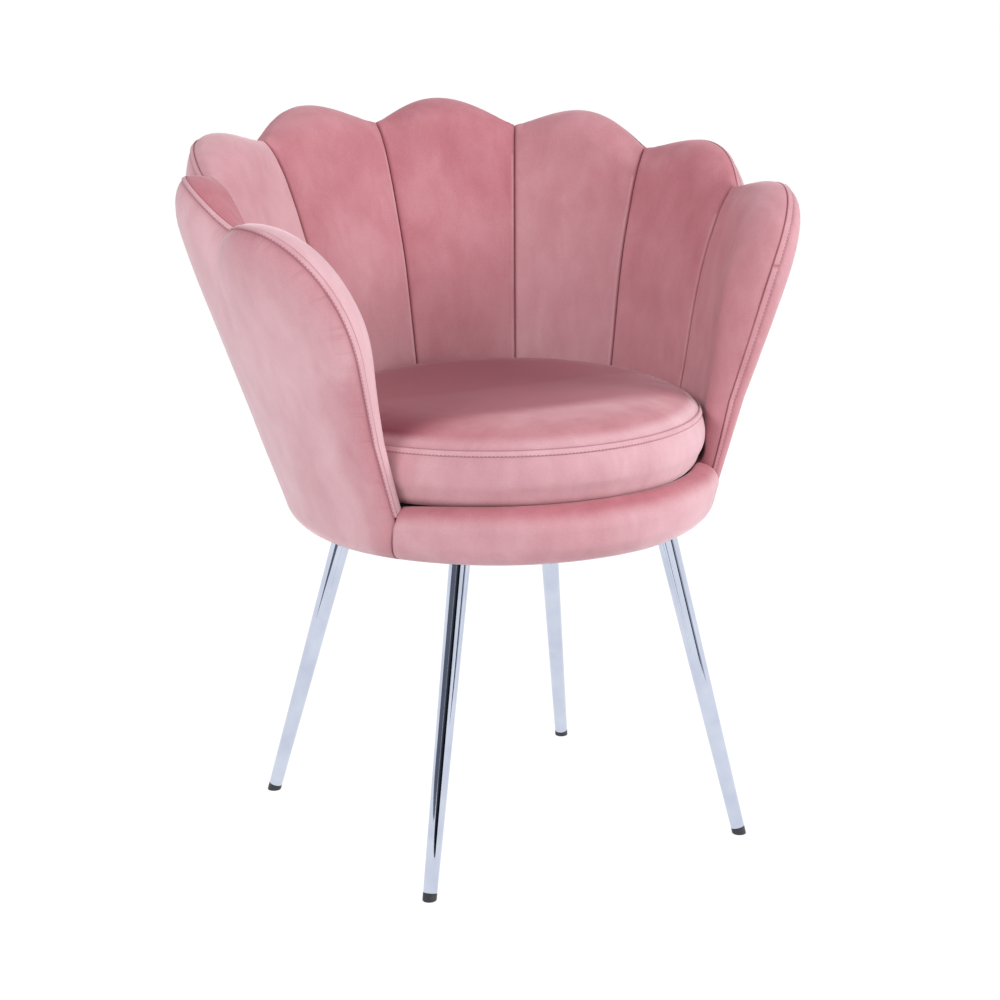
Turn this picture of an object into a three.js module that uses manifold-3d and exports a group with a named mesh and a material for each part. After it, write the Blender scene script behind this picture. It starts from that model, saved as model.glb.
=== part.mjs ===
// Scallop back chair: a padded tub of eight channels over a round seat, on four splayed steel legs.
// Millimetres, +Z up, the floor at z = 0 and the front towards -Y. Left and right are as seen from the front.
// Angles go round the tub: 0 is the middle of the back, positive ones are on the right.
import * as THREE from "three";
import { mergeVertices } from "three/addons/utils/BufferGeometryUtils.js";
import Module from "manifold-3d";

const wasm = await Module();
wasm.setup();
const { clamp, degToRad, lerp, smoothstep } = THREE.MathUtils;

// Clearances
const gap = 0.3; // between pieces that touch
const facetSlack = 0.4; // more where two round pieces have unlike facets
const overrun = 20; // how far a cut runs past the piece
const weldLength = 1e-3; // points nearer than this are one
const roundSpanCount = 48; // flat sides of the round pieces
const cushionSpanCount = 36;
const railSpanCount = 20;
const legSpanCount = 16;
const screwSpanCount = 10;
const petalSpanCount = 6; // across a channel, rib by rib
const armPeakSpanCount = 3; // from the arm's seam to its highest point
const armCornerSpanCount = 4;
const armEdgeSpanCount = 3;
const plateCornerSpanCount = 4;

// Base of the seat, from the bottom up
const undersideHeight = 350;
const clothThickness = 1;
const boardThickness = 18;
const boardInset = 23.7; // of the board's underside from the tub's cone
const ringHeight = 31;
const ringWidth = 34.5;
const deckThickness = 5;
const bottomEdgeRadius = 40;

// Tub wall
const seatRise = 130; // from the underside to the seat
const wallHeight = 433; // from the underside to the top of the back
const undersideHalfWidth = 228.7; // of the tub's cone, without its rounded edge
const topHalfWidth = 383;
const lowWallThickness = 33;
const fullWallThickness = 58;
const fullWallRise = 160; // from the seat to where the wall has its full thickness
const tubDepthLoss = 33; // how much shallower than wide the tub is, from the seat up
const backThickening = 7; // extra half thickness in the middle of the back
const outerSwell = 3; // of the cover, half way up

// Rim of the tub
const rimMidDrop = 62; // from the top of the back to the rim's middle
const rimRise = 64; // of the rim towards the back, over its middle
const scallopDepth = 25;
const scallopPowerShare = 1.35;
const petalCount = 8;
const petalAngle = degToRad(30);
const armEdgeAngle = degToRad(125);
const armLeanAngle = degToRad(4.5); // how far back the arm's seam runs beside the front rail
const armCornerDrop = 150;
const armCornerPower = 2.1;
const rimRounding = 28;
const outerRimRounding = 62; // behind the rim, where the cover slopes off more gently
const valleyPull = 20; // how far inwards the seams draw the rim
const peakPull = 4;

// Shell, padding and covers
const shellThickness = 12;
const shellInset = 22; // from the rim to the edge of the shell
const seamTurn = degToRad(25); // how far over the rim the seam behind it lies
const coverEdge = 1; // groove left along the seam, under the welt
const channelCrown = 9; // how far a channel swells between its seams
const rimBand = 30; // depth of the band that follows the rim squarely
const lipWidth = 12;
const lipThickness = 0.7;
const foldStep = 0.3;
const weltWidth = 7;
const weltThickness = 1.2;
const crownPowerShare = 0.7;
const rimStartShare = 0.25; // of the way from the rim to its seam
const slantMiddleShare = 0.35;
const bodyShares = [0.2, 0.45, 0.72, 1]; // rows of a rib below the band
const bevelShare = 0.38; // the row of the bottom edge between the lip and the board's top
const tuckShare = 0.2; // of the cushion's edge radius, that the channels reach in under it

// Front rail
const railCrestRise = 5.5; // over the cushion's underside
const railEdgeRadius = 19;
const railTurnShares = [0, 0.5, 0.75, 1];

// Cushion
const cushionSideHeight = 65.5; // from its underside to its seam
const cushionSideGap = 8.2; // to the wall beside it, before the channels' own swelling
const cushionBackGap = 10;
const cushionFrontGap = 0.6; // to the crest of the front rail
const cushionCrown = 20;
const cushionCrownPower = 12;
const cushionBackLift = 8; // where the back squeezes the cushion upwards
const cushionEdgeRadius = 20;
const cushionSwell = 2;
const cushionSeamInset = 1;
const cushionTurnShares = [0, 0.5, 1];
const crownShares = [1, 0.97, 0.92, 0.84, 0.6, 0]; // rings of the crown, from the seam inwards
const coverThickness = 2;

// Legs
const footSideInset = 33.7; // of the feet from the tub's cone at the underside
const frontFootInset = 37.7;
const backFootInset = 25.7;
const frontLegTopInset = 39.7; // from the tub's cone at the underside
const backLegTopInset = 51.9;
const frontLegAngle = degToRad(42.2); // bearing of the leg's top, from the front
const backLegAngle = degToRad(45.9);
const legTopRadius = 11.25;
const legFootRadius = 7.5;
const legWallThickness = 1.2;
const capHeight = 8;
const capPlugLength = 16;
const plateThickness = 3;
const plateCornerRadius = 12;
const plateSideHoleReach = 27;
const plateSideHoleInset = 10;
const plateInnerHoleInset = 40;

// Screws
const screwRadius = 3;
const screwLength = 20;
const screwHeadRadius = 6;
const screwHeadHeight = 3;
const screwDomeShare = 0.7;
const shellScrewRadius = 2.5;
const shellScrewLength = 26;
const shellScrewHeadRadius = 4.5;
const shellScrewHeadHeight = 3;
const shellScrewSink = 2;
const shellScrewAngles = [-100, -60, -20, 20, 60, 100].map(degToRad);

// Levels of the seat and the back
const seatLevel = undersideHeight + seatRise;
const backPeakHeight = undersideHeight + wallHeight;
const fullWallLevel = seatLevel + fullWallRise;
const rimMidHeight = backPeakHeight - rimMidDrop;
const boardBottom = undersideHeight + clothThickness + gap;
const boardTop = boardBottom + boardThickness;
const ringBottom = boardTop + gap;
const ringTop = ringBottom + ringHeight;
const padBottom = ringTop + gap;
const deckTop = padBottom + deckThickness;
const deckClothBottom = deckTop + gap;
const cushionBottom = deckClothBottom + clothThickness + gap;
const cushionSeamHeight = cushionBottom + cushionSideHeight;
const railHeight = cushionBottom + railCrestRise;
const plateBottom = undersideHeight - gap - plateThickness;
const footHalfWidth = undersideHalfWidth - footSideInset;
const frontFootReach = undersideHalfWidth - frontFootInset;
const backFootReach = undersideHalfWidth - backFootInset;

// Shapes of the tub wall

const shareBetween = (value, from, to) => clamp((value - from) / (to - from), 0, 1);
const wallSlope = (topHalfWidth - undersideHalfWidth) / wallHeight;
const wallLean = Math.atan(wallSlope);
const edgeTangentHeight = undersideHeight + bottomEdgeRadius * (1 - Math.sin(wallLean));

function coneHalfWidth(z) {
  return undersideHalfWidth + wallSlope * (z - undersideHeight);
}

const boardRadius = undersideHalfWidth - boardInset;

// The outside of the tub: a cone with a rounded bottom edge.
function outerHalfWidth(z) {
  if (z >= edgeTangentHeight) return coneHalfWidth(z);
  const below = undersideHeight + bottomEdgeRadius - z;
  const centre = coneHalfWidth(edgeTangentHeight) - bottomEdgeRadius * Math.cos(wallLean);
  return centre + Math.sqrt(Math.max(0, bottomEdgeRadius ** 2 - below ** 2));
}

function wallThickness(z) {
  return lerp(lowWallThickness, fullWallThickness, smoothstep(z, cushionBottom, fullWallLevel));
}

const midHalfWidth = (z) => coneHalfWidth(z) - wallThickness(z) / 2;
const seatShare = (z) => shareBetween(z, boardTop, seatLevel);

function thickening(angle, z) {
  return backThickening * seatShare(z) * Math.max(0, Math.cos(angle)) ** 2;
}

function halfThickness(angle, z) {
  return wallThickness(z) / 2 + thickening(angle, z);
}

function outerOffset(angle, z) {
  const swell = outerSwell * Math.sin(Math.PI * shareBetween(z, boardTop, backPeakHeight));
  return outerHalfWidth(z) - midHalfWidth(z) + thickening(angle, z) + swell;
}

// The cushion's outline follows the wall beside it and the crest of the front rail.
const sideMiddle = (cushionBottom + cushionEdgeRadius + cushionSeamHeight) / 2;
const cushionHalfWidth = coneHalfWidth(sideMiddle) - wallThickness(sideMiddle) - cushionSideGap;
const cushionBackDepth = wallPoint(0, sideMiddle, -halfThickness(0, sideMiddle)).y - cushionBackGap;
const railCornerHeight = railHeight - railEdgeRadius;
const railCrestRadius = outerHalfWidth(railCornerHeight) - railEdgeRadius - coverEdge;
const cushionFrontDepth =
  railCrestRadius - tubDepthLoss * seatShare(railHeight) + cushionInsetAt(railHeight) - cushionFrontGap;

// How far the cushion's rounded lower edge draws in at a height.
function cushionInsetAt(z) {
  const share = 1 - shareBetween(z, cushionBottom, cushionBottom + cushionEdgeRadius);
  return cushionEdgeRadius * (1 - Math.sqrt(1 - share ** 2));
}

// A point of the wall, at an offset outwards from its middle surface.
function wallPoint(angle, z, offset) {
  const halfWidth = midHalfWidth(z) + offset;
  const halfDepth = halfWidth - tubDepthLoss * seatShare(z);
  return new THREE.Vector3(halfWidth * Math.sin(angle), halfDepth * Math.cos(angle), z);
}

// How far inwards the rim lies from the middle of the wall, fading out below it. The arms'
// upright edges aren't drawn in.
function rimPull(place, reach = slantEnd) {
  const turn = Math.abs(place.rib.angle) / petalAngle;
  const valley = 1 - Math.sin(Math.PI * (turn % 1));
  const fade = 1 - shareBetween(place.drop, 0, reach);
  return lerp(peakPull, valleyPull, valley) * Math.cos(place.rib.turn) * fade;
}

// The rim's rounding: half the wall at a drop below the rim, as a share.
function roundingShare(drop, radius = rimRounding) {
  return drop >= radius ? 1 : Math.sqrt(1 - (1 - drop / radius) ** 2);
}

// Behind the rim the cover slopes off gently, and less so on the arms.
function outerRoundingShare(place) {
  const armShare = shareBetween(Math.abs(place.rib.angle), armSeamAngle - petalAngle / 2, armPeakAngle);
  return roundingShare(place.drop, lerp(outerRimRounding, rimRounding, armShare));
}

// The rim and the ribs that run down from it

const armSeamAngle = (petalCount / 2 - 1) * petalAngle;
const armUnrollRadius = midHalfWidth((seatLevel + backPeakHeight) / 2);

function rimHeight(angle) {
  const turn = Math.abs(angle) / petalAngle;
  const swell = Math.sin(Math.PI * (turn % 1)) ** scallopPowerShare;
  return rimMidHeight + rimRise * Math.cos(angle) - scallopDepth * (1 - swell);
}

// The arm's highest point, found along its petal.
function armPeak(steps = 120) {
  let best = armSeamAngle;
  for (let i = 0; i <= steps; i++) {
    const angle = armSeamAngle + (petalAngle * i) / steps;
    if (rimHeight(angle) > rimHeight(best)) best = angle;
  }
  return best;
}

const armPeakAngle = armPeak();
const armCornerHeight = rimHeight(armPeakAngle) - armCornerDrop;
const armCornerWidth = (armEdgeAngle - armPeakAngle) * armUnrollRadius;

// A rib starts on the rim, leaves it squarely and ends at the foot of the wall. Its turn is
// zero where it leaves downwards and a quarter turn where it leaves the arm's upright edge.
function makeRib(angle, z, turn, footAngle, across) {
  return { angle, z, turn, footAngle, across };
}

function petalRibs(from, to, spans) {
  return Array.from({ length: spans + 1 }, (_, i) => {
    const angle = lerp(from, to, i / spans);
    return makeRib(angle, rimHeight(angle), 0, angle, i / spans);
  });
}

function armRibs(peakSpans, cornerSpans, edgeSpans) {
  const ribs = [];
  const lastFoot = armEdgeAngle - rimBand / armUnrollRadius;
  const spans = peakSpans + cornerSpans + edgeSpans;
  for (let i = 0; i <= spans; i++) {
    const across = i / spans;
    const past = (i - peakSpans) / (spans - peakSpans);
    const footAngle = lerp(armPeakAngle, lastFoot, past);
    if (i <= peakSpans) {
      const angle = lerp(armSeamAngle, armPeakAngle, i / peakSpans);
      ribs.push(makeRib(angle, rimHeight(angle), 0, angle, across));
    } else if (i < peakSpans + cornerSpans) {
      const sweep = ((Math.PI / 2) * (i - peakSpans)) / cornerSpans;
      const outShare = Math.sin(sweep) ** (2 / armCornerPower);
      const upShare = Math.cos(sweep) ** (2 / armCornerPower);
      const outSlope = outShare ** (armCornerPower - 1) / armCornerWidth;
      const upSlope = upShare ** (armCornerPower - 1) / armCornerDrop;
      const angle = armPeakAngle + (outShare * armCornerWidth) / armUnrollRadius;
      const z = armCornerHeight + upShare * armCornerDrop;
      ribs.push(makeRib(angle, z, Math.atan2(outSlope, upSlope), footAngle, across));
    } else {
      const z = lerp(armCornerHeight, padBottom, (i - peakSpans - cornerSpans) / edgeSpans);
      ribs.push(makeRib(armEdgeAngle, z, Math.PI / 2, footAngle, across));
    }
  }
  return ribs;
}

const rightPetals = [0, 1, 2].map((n) => petalRibs(n * petalAngle, (n + 1) * petalAngle, petalSpanCount));
rightPetals.push(armRibs(armPeakSpanCount, armCornerSpanCount, armEdgeSpanCount));

function mirrored(ribs) {
  return [...ribs].reverse().map((rib) => ({ ...rib, mirror: true, across: 1 - rib.across }));
}

const petals = [...[...rightPetals].reverse().map(mirrored), ...rightPetals];

// The place on a rib at a drop from the rim, inside the band that follows the rim.
function bandPlace(rib, drop) {
  const angle = rib.angle - (Math.sin(rib.turn) * drop) / armUnrollRadius;
  return { rib, drop, angle: rib.mirror ? -angle : angle, z: rib.z - Math.cos(rib.turn) * drop };
}

// The place on a rib between its band and its foot: a curve that turns downwards.
function bodyPlace(rib, share, footHeight = padBottom) {
  const start = bandPlace(rib, rimBand);
  const startAngle = Math.abs(start.angle);
  const fall = rib.turn > 0 ? ((startAngle - rib.footAngle) * armUnrollRadius) / Math.tan(rib.turn) : 0;
  const bend = new THREE.Vector2(rib.footAngle, rib.turn > 0 ? start.z - fall : (start.z + footHeight) / 2);
  const curve = new THREE.QuadraticBezierCurve(
    new THREE.Vector2(startAngle, start.z),
    bend,
    new THREE.Vector2(rib.footAngle, footHeight),
  );
  const at = curve.getPoint(share);
  const drop = rimBand + Math.hypot((startAngle - at.x) * armUnrollRadius, start.z - at.y);
  return { rib, drop, angle: rib.mirror ? -at.x : at.x, z: at.y };
}

// Ribs with their places in rows: drops inside the band, then shares of the rest.
function ribGrid(ribs, drops, shares) {
  return ribs.map((rib) => [
    ...drops.map((drop) => bandPlace(rib, drop)),
    ...shares.map((share) => bodyPlace(rib, share)),
  ]);
}

// Closed solids from faces

function welded(positions, faces) {
  const geometry = new THREE.BufferGeometry();
  geometry.setAttribute("position", new THREE.Float32BufferAttribute(positions, 3));
  geometry.setIndex(faces);
  const merged = mergeVertices(geometry, weldLength);
  const index = merged.index.array;
  const kept = [];
  for (let i = 0; i < index.length; i += 3) {
    const [a, b, c] = [index[i], index[i + 1], index[i + 2]];
    if (a !== b && b !== c && c !== a) kept.push(a, b, c);
  }
  merged.setIndex(kept);
  return facingOut(merged);
}

// Turns the faces round if they point inwards.
function facingOut(geometry) {
  const position = geometry.attributes.position;
  const index = [...geometry.index.array];
  const corner = [0, 1, 2].map(() => new THREE.Vector3());
  let volume = 0;
  for (let i = 0; i < index.length; i += 3) {
    corner.forEach((point, k) => point.fromBufferAttribute(position, index[i + k]));
    volume += corner[0].dot(corner[1].clone().cross(corner[2]));
  }
  if (volume < 0) index.reverse();
  geometry.setIndex(index);
  return geometry;
}

// The solid between two faces laid over the same blocks of places. Each block is a grid.
function slab(blocks, near, far) {
  const places = [];
  const numbers = new Map();
  const numberOf = (place) => {
    const key = wallPoint(place.angle, place.z, 0).toArray().map((v) => v.toFixed(3)).join();
    if (!numbers.has(key)) {
      numbers.set(key, places.length);
      places.push(place);
    }
    return numbers.get(key);
  };
  const faces = [];
  for (const block of blocks) {
    for (let i = 0; i + 1 < block.length; i++) {
      for (let j = 0; j + 1 < block[i].length; j++) {
        const a = numberOf(block[i][j]);
        const b = numberOf(block[i + 1][j]);
        const c = numberOf(block[i + 1][j + 1]);
        const d = numberOf(block[i][j + 1]);
        faces.push([a, b, c], [a, c, d]);
      }
    }
  }
  const sound = faces.filter(([a, b, c]) => a !== b && b !== c && c !== a);
  const border = new Map();
  for (const face of sound) {
    face.forEach((from, k) => {
      const to = face[(k + 1) % 3];
      if (!border.delete(`${to},${from}`)) border.set(`${from},${to}`, [from, to]);
    });
  }
  const count = places.length;
  const all = sound.flatMap(([a, b, c]) => [a, b, c, a + count, c + count, b + count]);
  for (const [from, to] of border.values()) {
    all.push(to, from, from + count, to, from + count, to + count);
  }
  return welded([...places.map(near), ...places.map(far)].flatMap((point) => point.toArray()), all);
}

// The solid through rings of points, closed where its end rings shrink to a point, or joined
// up from its last ring to its first.
function ringSolid(rings, joined) {
  const spans = rings[0].length;
  const steps = joined ? rings.length : rings.length - 1;
  const faces = [];
  for (let i = 0; i < steps; i++) {
    const next = (i + 1) % rings.length;
    for (let j = 0; j < spans; j++) {
      const [a, b] = [i * spans + j, i * spans + ((j + 1) % spans)];
      const [c, d] = [next * spans + ((j + 1) % spans), next * spans + j];
      faces.push(a, b, c, a, c, d);
    }
  }
  return welded(rings.flat().flatMap((point) => point.toArray()), faces);
}

function toManifold(geometry) {
  const bare = geometry.clone();
  bare.deleteAttribute("normal");
  bare.deleteAttribute("uv");
  const merged = mergeVertices(bare, weldLength);
  return new wasm.Manifold(
    new wasm.Mesh({
      numProp: 3,
      vertProperties: new Float32Array(merged.attributes.position.array),
      triVerts: new Uint32Array(merged.index.array),
    }),
  );
}

function fromManifold(solid) {
  const mesh = solid.getMesh();
  const geometry = new THREE.BufferGeometry();
  geometry.setAttribute("position", new THREE.Float32BufferAttribute(mesh.vertProperties, 3));
  geometry.setIndex([...mesh.triVerts]);
  return geometry;
}

function cutWith(geometry, tools) {
  const start = toManifold(geometry);
  return fromManifold(tools.reduce((solid, tool) => solid.subtract(toManifold(tool)), start));
}

// Surfaces of the wall's layers

const shellFace = shellThickness / 2;
const seamInset = rimRounding * (1 - Math.cos(seamTurn));
const slantEnd = shellInset - foldStep - gap; // drop at which the parting reaches the shell

// The face where the channels meet the shell and the cover: over the rim, down to the edge
// of the shell along a slant, then along the shell.
function partingOffset(place) {
  const full = halfThickness(place.angle, place.z);
  const seamOffset = full * outerRoundingShare({ ...place, drop: seamInset });
  if (place.drop <= seamInset) return full * outerRoundingShare(place);
  const slant = shareBetween(place.drop, seamInset, slantEnd);
  return lerp(seamOffset, shellFace, slant);
}

function channelCrownAt(place) {
  const { across } = place.rib;
  const swell = (4 * across * (1 - across)) ** crownPowerShare;
  const rise = smoothstep(place.z, seatLevel, fullWallLevel - scallopDepth);
  return channelCrown * swell * rise * roundingShare(place.drop);
}

// The inside of the channels. Beside the cushion they are pressed back by it.
function innerFace(place) {
  const full = halfThickness(place.angle, place.z) * roundingShare(place.drop);
  const point = wallPoint(place.angle, place.z, -full - channelCrownAt(place) - rimPull(place));
  const depth = Math.cos(place.angle) > 0 ? cushionBackDepth : cushionFrontDepth;
  const besideShare = shareBetween(place.z, padBottom, cushionBottom + cushionEdgeRadius);
  const room = lerp(-cushionEdgeRadius * tuckShare, cushionSwell + gap + facetSlack, besideShare);
  const inside = Math.hypot(point.x / (cushionHalfWidth + room), point.y / (depth + room));
  const beside = place.z < cushionSeamHeight + cushionCrown;
  if (beside && inside < 1) point.set(point.x / inside, point.y / inside, point.z);
  return point;
}

function padBack(place) {
  const onShell = place.drop >= shellInset - gap;
  const offset = onShell ? -shellFace - gap : partingOffset(place);
  return wallPoint(place.angle, place.z, offset - rimPull(place));
}

const bandMiddle = lerp(seamInset, slantEnd, slantMiddleShare);
const padDrops = [0, seamInset * rimStartShare, seamInset, bandMiddle, slantEnd, shellInset - gap, rimBand];

// One channel of the back: foam and velvet that fill the inside of the wall, fold over the
// rim and end at the seam behind it.
function channelPad(ribs) {
  const grid = ribGrid(ribs, padDrops, bodyShares);
  const side = gap / 2 / armUnrollRadius;
  const inset = (column, way) => column.map((place) => ({ ...place, angle: place.angle + way * side }));
  const seamFirst = !(ribs[0].turn > 0);
  const seamLast = !(ribs.at(-1).turn > 0);
  if (seamFirst) grid[0] = inset(grid[0], 1);
  if (seamLast) grid[grid.length - 1] = inset(grid.at(-1), -1);
  return slab([grid], innerFace, padBack);
}

const allRibs = petals.flatMap((ribs, i) => (i ? ribs.slice(1) : ribs));

// The columns of places along the foot of the wall, from one arm's edge to the other,
// with more columns out to the edge where a piece reaches it.
function footColumns(outerDrops, heights) {
  const first = allRibs[0];
  const last = allRibs.at(-1);
  const places = [
    ...outerDrops.map((drop) => bandPlace(first, drop)),
    bandPlace(first, rimBand),
    ...allRibs.map((rib) => bodyPlace(rib, 1)),
    bandPlace(last, rimBand),
    ...[...outerDrops].reverse().map((drop) => bandPlace(last, drop)),
  ];
  return places.map((place) => [place, ...heights.map((z) => lowered(place, z))]);
}

// How far back the arm's seam has run at a height beside the front rail.
const seamLeanAt = (z) => armLeanAngle * shareBetween(z, padBottom, undersideHeight);

// A place below another, with its distance from the end of the rim.
function lowered(place, z) {
  const lean = seamLeanAt(z) * shareBetween(Math.abs(place.angle), armSeamAngle, armEdgeAngle);
  const angle = place.angle - Math.sign(place.angle) * lean;
  return { ...place, angle, z, drop: Math.hypot(place.drop, padBottom - z) };
}

const coverDrop = seamInset + coverEdge;

const lipTop = undersideHeight + lipThickness;
const lipRadius = boardRadius - lipWidth;
const boardTopRadius = midHalfWidth(boardTop) + shellFace - facetSlack;

// Levels of the covers' bottom edge, from the top of the board down to the underside.
const edgeHeights = [
  boardTop,
  lerp(lipTop, boardTop, bevelShare),
  lipTop + foldStep,
  lipTop,
  undersideHeight,
];

// Inside of the covers at their bottom edge: down the bevel of the board and under it.
function edgeBacking(z) {
  if (z < lipTop + foldStep / 2) return lipRadius;
  const bevel = shareBetween(z, lipTop + foldStep, boardTop);
  return lerp(boardRadius, boardTopRadius, bevel) + gap + facetSlack;
}

function coverBackOffset(place) {
  if (place.z <= boardTop) return edgeBacking(place.z) - midHalfWidth(place.z);
  const slanted = place.drop < slantEnd ? partingOffset(place) + facetSlack : shellFace;
  return slanted + gap - rimPull(place);
}

function coverBack(place) {
  return wallPoint(place.angle, place.z, coverBackOffset(place));
}

function coverFace(place) {
  const full = outerOffset(place.angle, place.z) * outerRoundingShare(place);
  const least = coverBackOffset(place) + lipThickness;
  return wallPoint(place.angle, place.z, Math.max(full - rimPull(place, rimBand), least));
}

// The outside panel: one smooth cover from the seam behind the rim to the underside.
function outerCover() {
  const drops = [coverDrop, bandMiddle, slantEnd, rimBand];
  const upper = ribGrid(allRibs, drops, bodyShares);
  const edge = [gap / 2, coverDrop, bandMiddle, slantEnd];
  const lower = footColumns(edge, edgeHeights).map((column, i, all) => {
    const outside = i < 2 || i > all.length - 3;
    return outside ? [lowered(column[0], padBottom - gap), ...column.slice(1)] : column;
  });
  return slab([upper, lower], coverBack, coverFace);
}

// The bent plywood shell, cut in scallops that follow the rim.
function backShell() {
  const upper = ribGrid(allRibs, [shellInset, rimBand], bodyShares);
  const lower = footColumns([shellInset], [ringBottom]);
  const shell = slab(
    [upper, lower],
    (place) => wallPoint(place.angle, place.z, -shellFace),
    (place) => wallPoint(place.angle, place.z, shellFace),
  );
  return cutWith(shell, shellScrewHoles());
}

// A step away from the rim's rounded face, square to it.
function lifted(place, lift) {
  const turn = Math.acos(1 - Math.min(place.drop / rimRounding, 1));
  const outward = lift * Math.sin(turn);
  const along = lift * Math.cos(turn);
  const sideways = along * Math.sin(place.rib.turn) * (place.rib.mirror ? -1 : 1);
  return new THREE.Vector3(
    outward * Math.sin(place.angle) + sideways * Math.cos(place.angle),
    outward * Math.cos(place.angle) - sideways * Math.sin(place.angle),
    along * Math.cos(place.rib.turn),
  );
}

// The flat welt that covers the seam behind the rim.
function rimWelt() {
  const halfTurn = weltWidth / 2 / rimRounding;
  const turns = [seamTurn - halfTurn, seamTurn, seamTurn + halfTurn];
  const drops = turns.map((turn) => rimRounding * (1 - Math.cos(turn)));
  const over = (place, lift) => {
    const onPad = wallPoint(place.angle, place.z, partingOffset(place) - rimPull(place));
    const face = place.drop > seamInset ? coverFace(place) : onPad;
    return face.add(lifted(place, lift));
  };
  return slab(
    [ribGrid(allRibs, drops, [])],
    (place) => over(place, gap),
    (place) => over(place, gap + weltThickness),
  );
}

// Pieces of the base

// Points round the tub at a height, at an offset outwards from the wall's middle.
function wallRing(offset, z) {
  return Array.from({ length: roundSpanCount }, (_, i) => {
    return wallPoint((2 * Math.PI * i) / roundSpanCount, z, offset);
  });
}

// The wooden ring that stands on the seat board and carries the shell.
function baseRing() {
  const outside = -shellFace - gap - facetSlack;
  const boreRadius = midHalfWidth(ringBottom) + outside - ringWidth;
  const rings = [
    wallRing(boreRadius - midHalfWidth(ringBottom), ringBottom),
    wallRing(outside, ringBottom),
    wallRing(outside, ringTop),
    wallRing(boreRadius - midHalfWidth(ringTop), ringTop),
  ];
  return cutWith(ringSolid(rings, true), shellScrewHoles());
}

// The padding of the front rail, between the arms: a rounded outer edge and a top that
// slopes down under the cushion.
function frontRailPad() {
  const edgeAt = (z) => armEdgeAngle - seamLeanAt(z) + (weltThickness + gap) / armUnrollRadius;
  const turns = railTurnShares.map((share) => (share * Math.PI) / 2);
  const round = turns.map((turn) => railCornerHeight + railEdgeRadius * Math.sin(turn));
  const heights = [...edgeHeights, ringBottom, ringTop, padBottom, ...round].sort((p, q) => p - q);
  const inner = ({ angle, z }) => {
    if (z <= boardTop) return wallPoint(angle, z, edgeBacking(z) - midHalfWidth(z));
    if (z <= ringTop) return wallPoint(angle, z, -shellFace);
    const foot = wallPoint(angle, padBottom, -halfThickness(angle, padBottom)).setZ(z);
    const crest = wallPoint(angle, z, railCrestRadius - midHalfWidth(z));
    return foot.lerp(crest, shareBetween(z, round[1], railHeight));
  };
  const outer = ({ angle, z }) => {
    if (z <= railCornerHeight) return outerOffset(angle, z);
    const inset = railEdgeRadius * (1 - Math.sqrt(1 - shareBetween(z, railCornerHeight, railHeight) ** 2));
    return outerHalfWidth(railCornerHeight) - inset - midHalfWidth(z);
  };
  const grid = Array.from({ length: railSpanCount + 1 }, (_, i) => {
    return heights.map((z) => ({ angle: lerp(edgeAt(z), 2 * Math.PI - edgeAt(z), i / railSpanCount), z }));
  });
  return slab(
    [grid],
    inner,
    (place) => wallPoint(place.angle, place.z, outer(place)),
  );
}

function disc(outline, bottom, thickness) {
  const shape = new THREE.Shape(outline);
  const geometry = new THREE.ExtrudeGeometry(shape, { depth: thickness, bevelEnabled: false });
  return geometry.translate(0, 0, bottom);
}

// The round board that everything stands on, with a bevelled edge.
function seatBoard() {
  const profile = [
    [0, boardBottom],
    [boardRadius, boardBottom],
    [boardTopRadius, boardTop],
    [0, boardTop],
  ];
  return turned(profile, roundSpanCount).rotateX(Math.PI / 2);
}

function circleOutline(radius) {
  return Array.from({ length: roundSpanCount }, (_, i) => {
    const angle = (2 * Math.PI * i) / roundSpanCount;
    return new THREE.Vector2(radius * Math.sin(angle), radius * Math.cos(angle));
  });
}

// The outline of the deck, inside the channels and the rail from its underside to its top.
function deckOutline() {
  return Array.from({ length: roundSpanCount }, (_, i) => {
    const angle = (2 * Math.PI * i) / roundSpanCount;
    const inside = (z) => wallPoint(angle, z, -halfThickness(angle, z) - gap - facetSlack).setZ(0);
    const [low, high] = [inside(padBottom), inside(cushionBottom)];
    const point = low.length() < high.length() ? low : high;
    return new THREE.Vector2(point.x, point.y);
  });
}

// Cushion

// A ring of the cushion: its outline drawn in by an inset, then scaled about the axis.
function cushionRing(inset, scale, z) {
  return Array.from({ length: cushionSpanCount }, (_, i) => {
    const angle = (2 * Math.PI * i) / cushionSpanCount;
    const cosine = Math.cos(angle);
    const depth = cosine > 0 ? cushionBackDepth : cushionFrontDepth;
    const x = scale * (cushionHalfWidth - inset) * Math.sin(angle);
    const lift = z > sideMiddle ? cushionBackLift * Math.max(0, cosine) * scale : 0;
    return new THREE.Vector3(x, scale * (depth - inset) * cosine, z + lift);
  });
}

// The outside of the cushion from the bottom edge to the middle of the crown, at a depth
// below its surface. Each entry is an inset, a scale and a height.
function cushionProfile(under) {
  const bottom = cushionTurnShares.map((share) => {
    const turn = (share * Math.PI) / 2;
    const radius = cushionEdgeRadius - under;
    const inset = cushionEdgeRadius - radius * Math.sin(turn);
    return [inset, 1, cushionBottom + cushionEdgeRadius - radius * Math.cos(turn)];
  });
  const crown = crownShares.map((scale) => {
    const rise = cushionCrown * (1 - scale ** cushionCrownPower);
    return [cushionSeamInset + under, scale, cushionSeamHeight - under + rise];
  });
  return [...bottom, [under - cushionSwell, 1, sideMiddle], ...crown];
}

// A solid through the rings of a profile, joined up or closed on the axis.
function cushionSolid(profile, joined) {
  const rings = profile.map(([inset, scale, z]) => cushionRing(inset, scale, z));
  return ringSolid(rings, joined);
}

// The velvet cover: a crowned top and its side band, open underneath.
function cushionCover() {
  const outside = cushionProfile(0).reverse();
  const inside = cushionProfile(coverThickness);
  return cushionSolid([...outside, ...inside], false);
}

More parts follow.
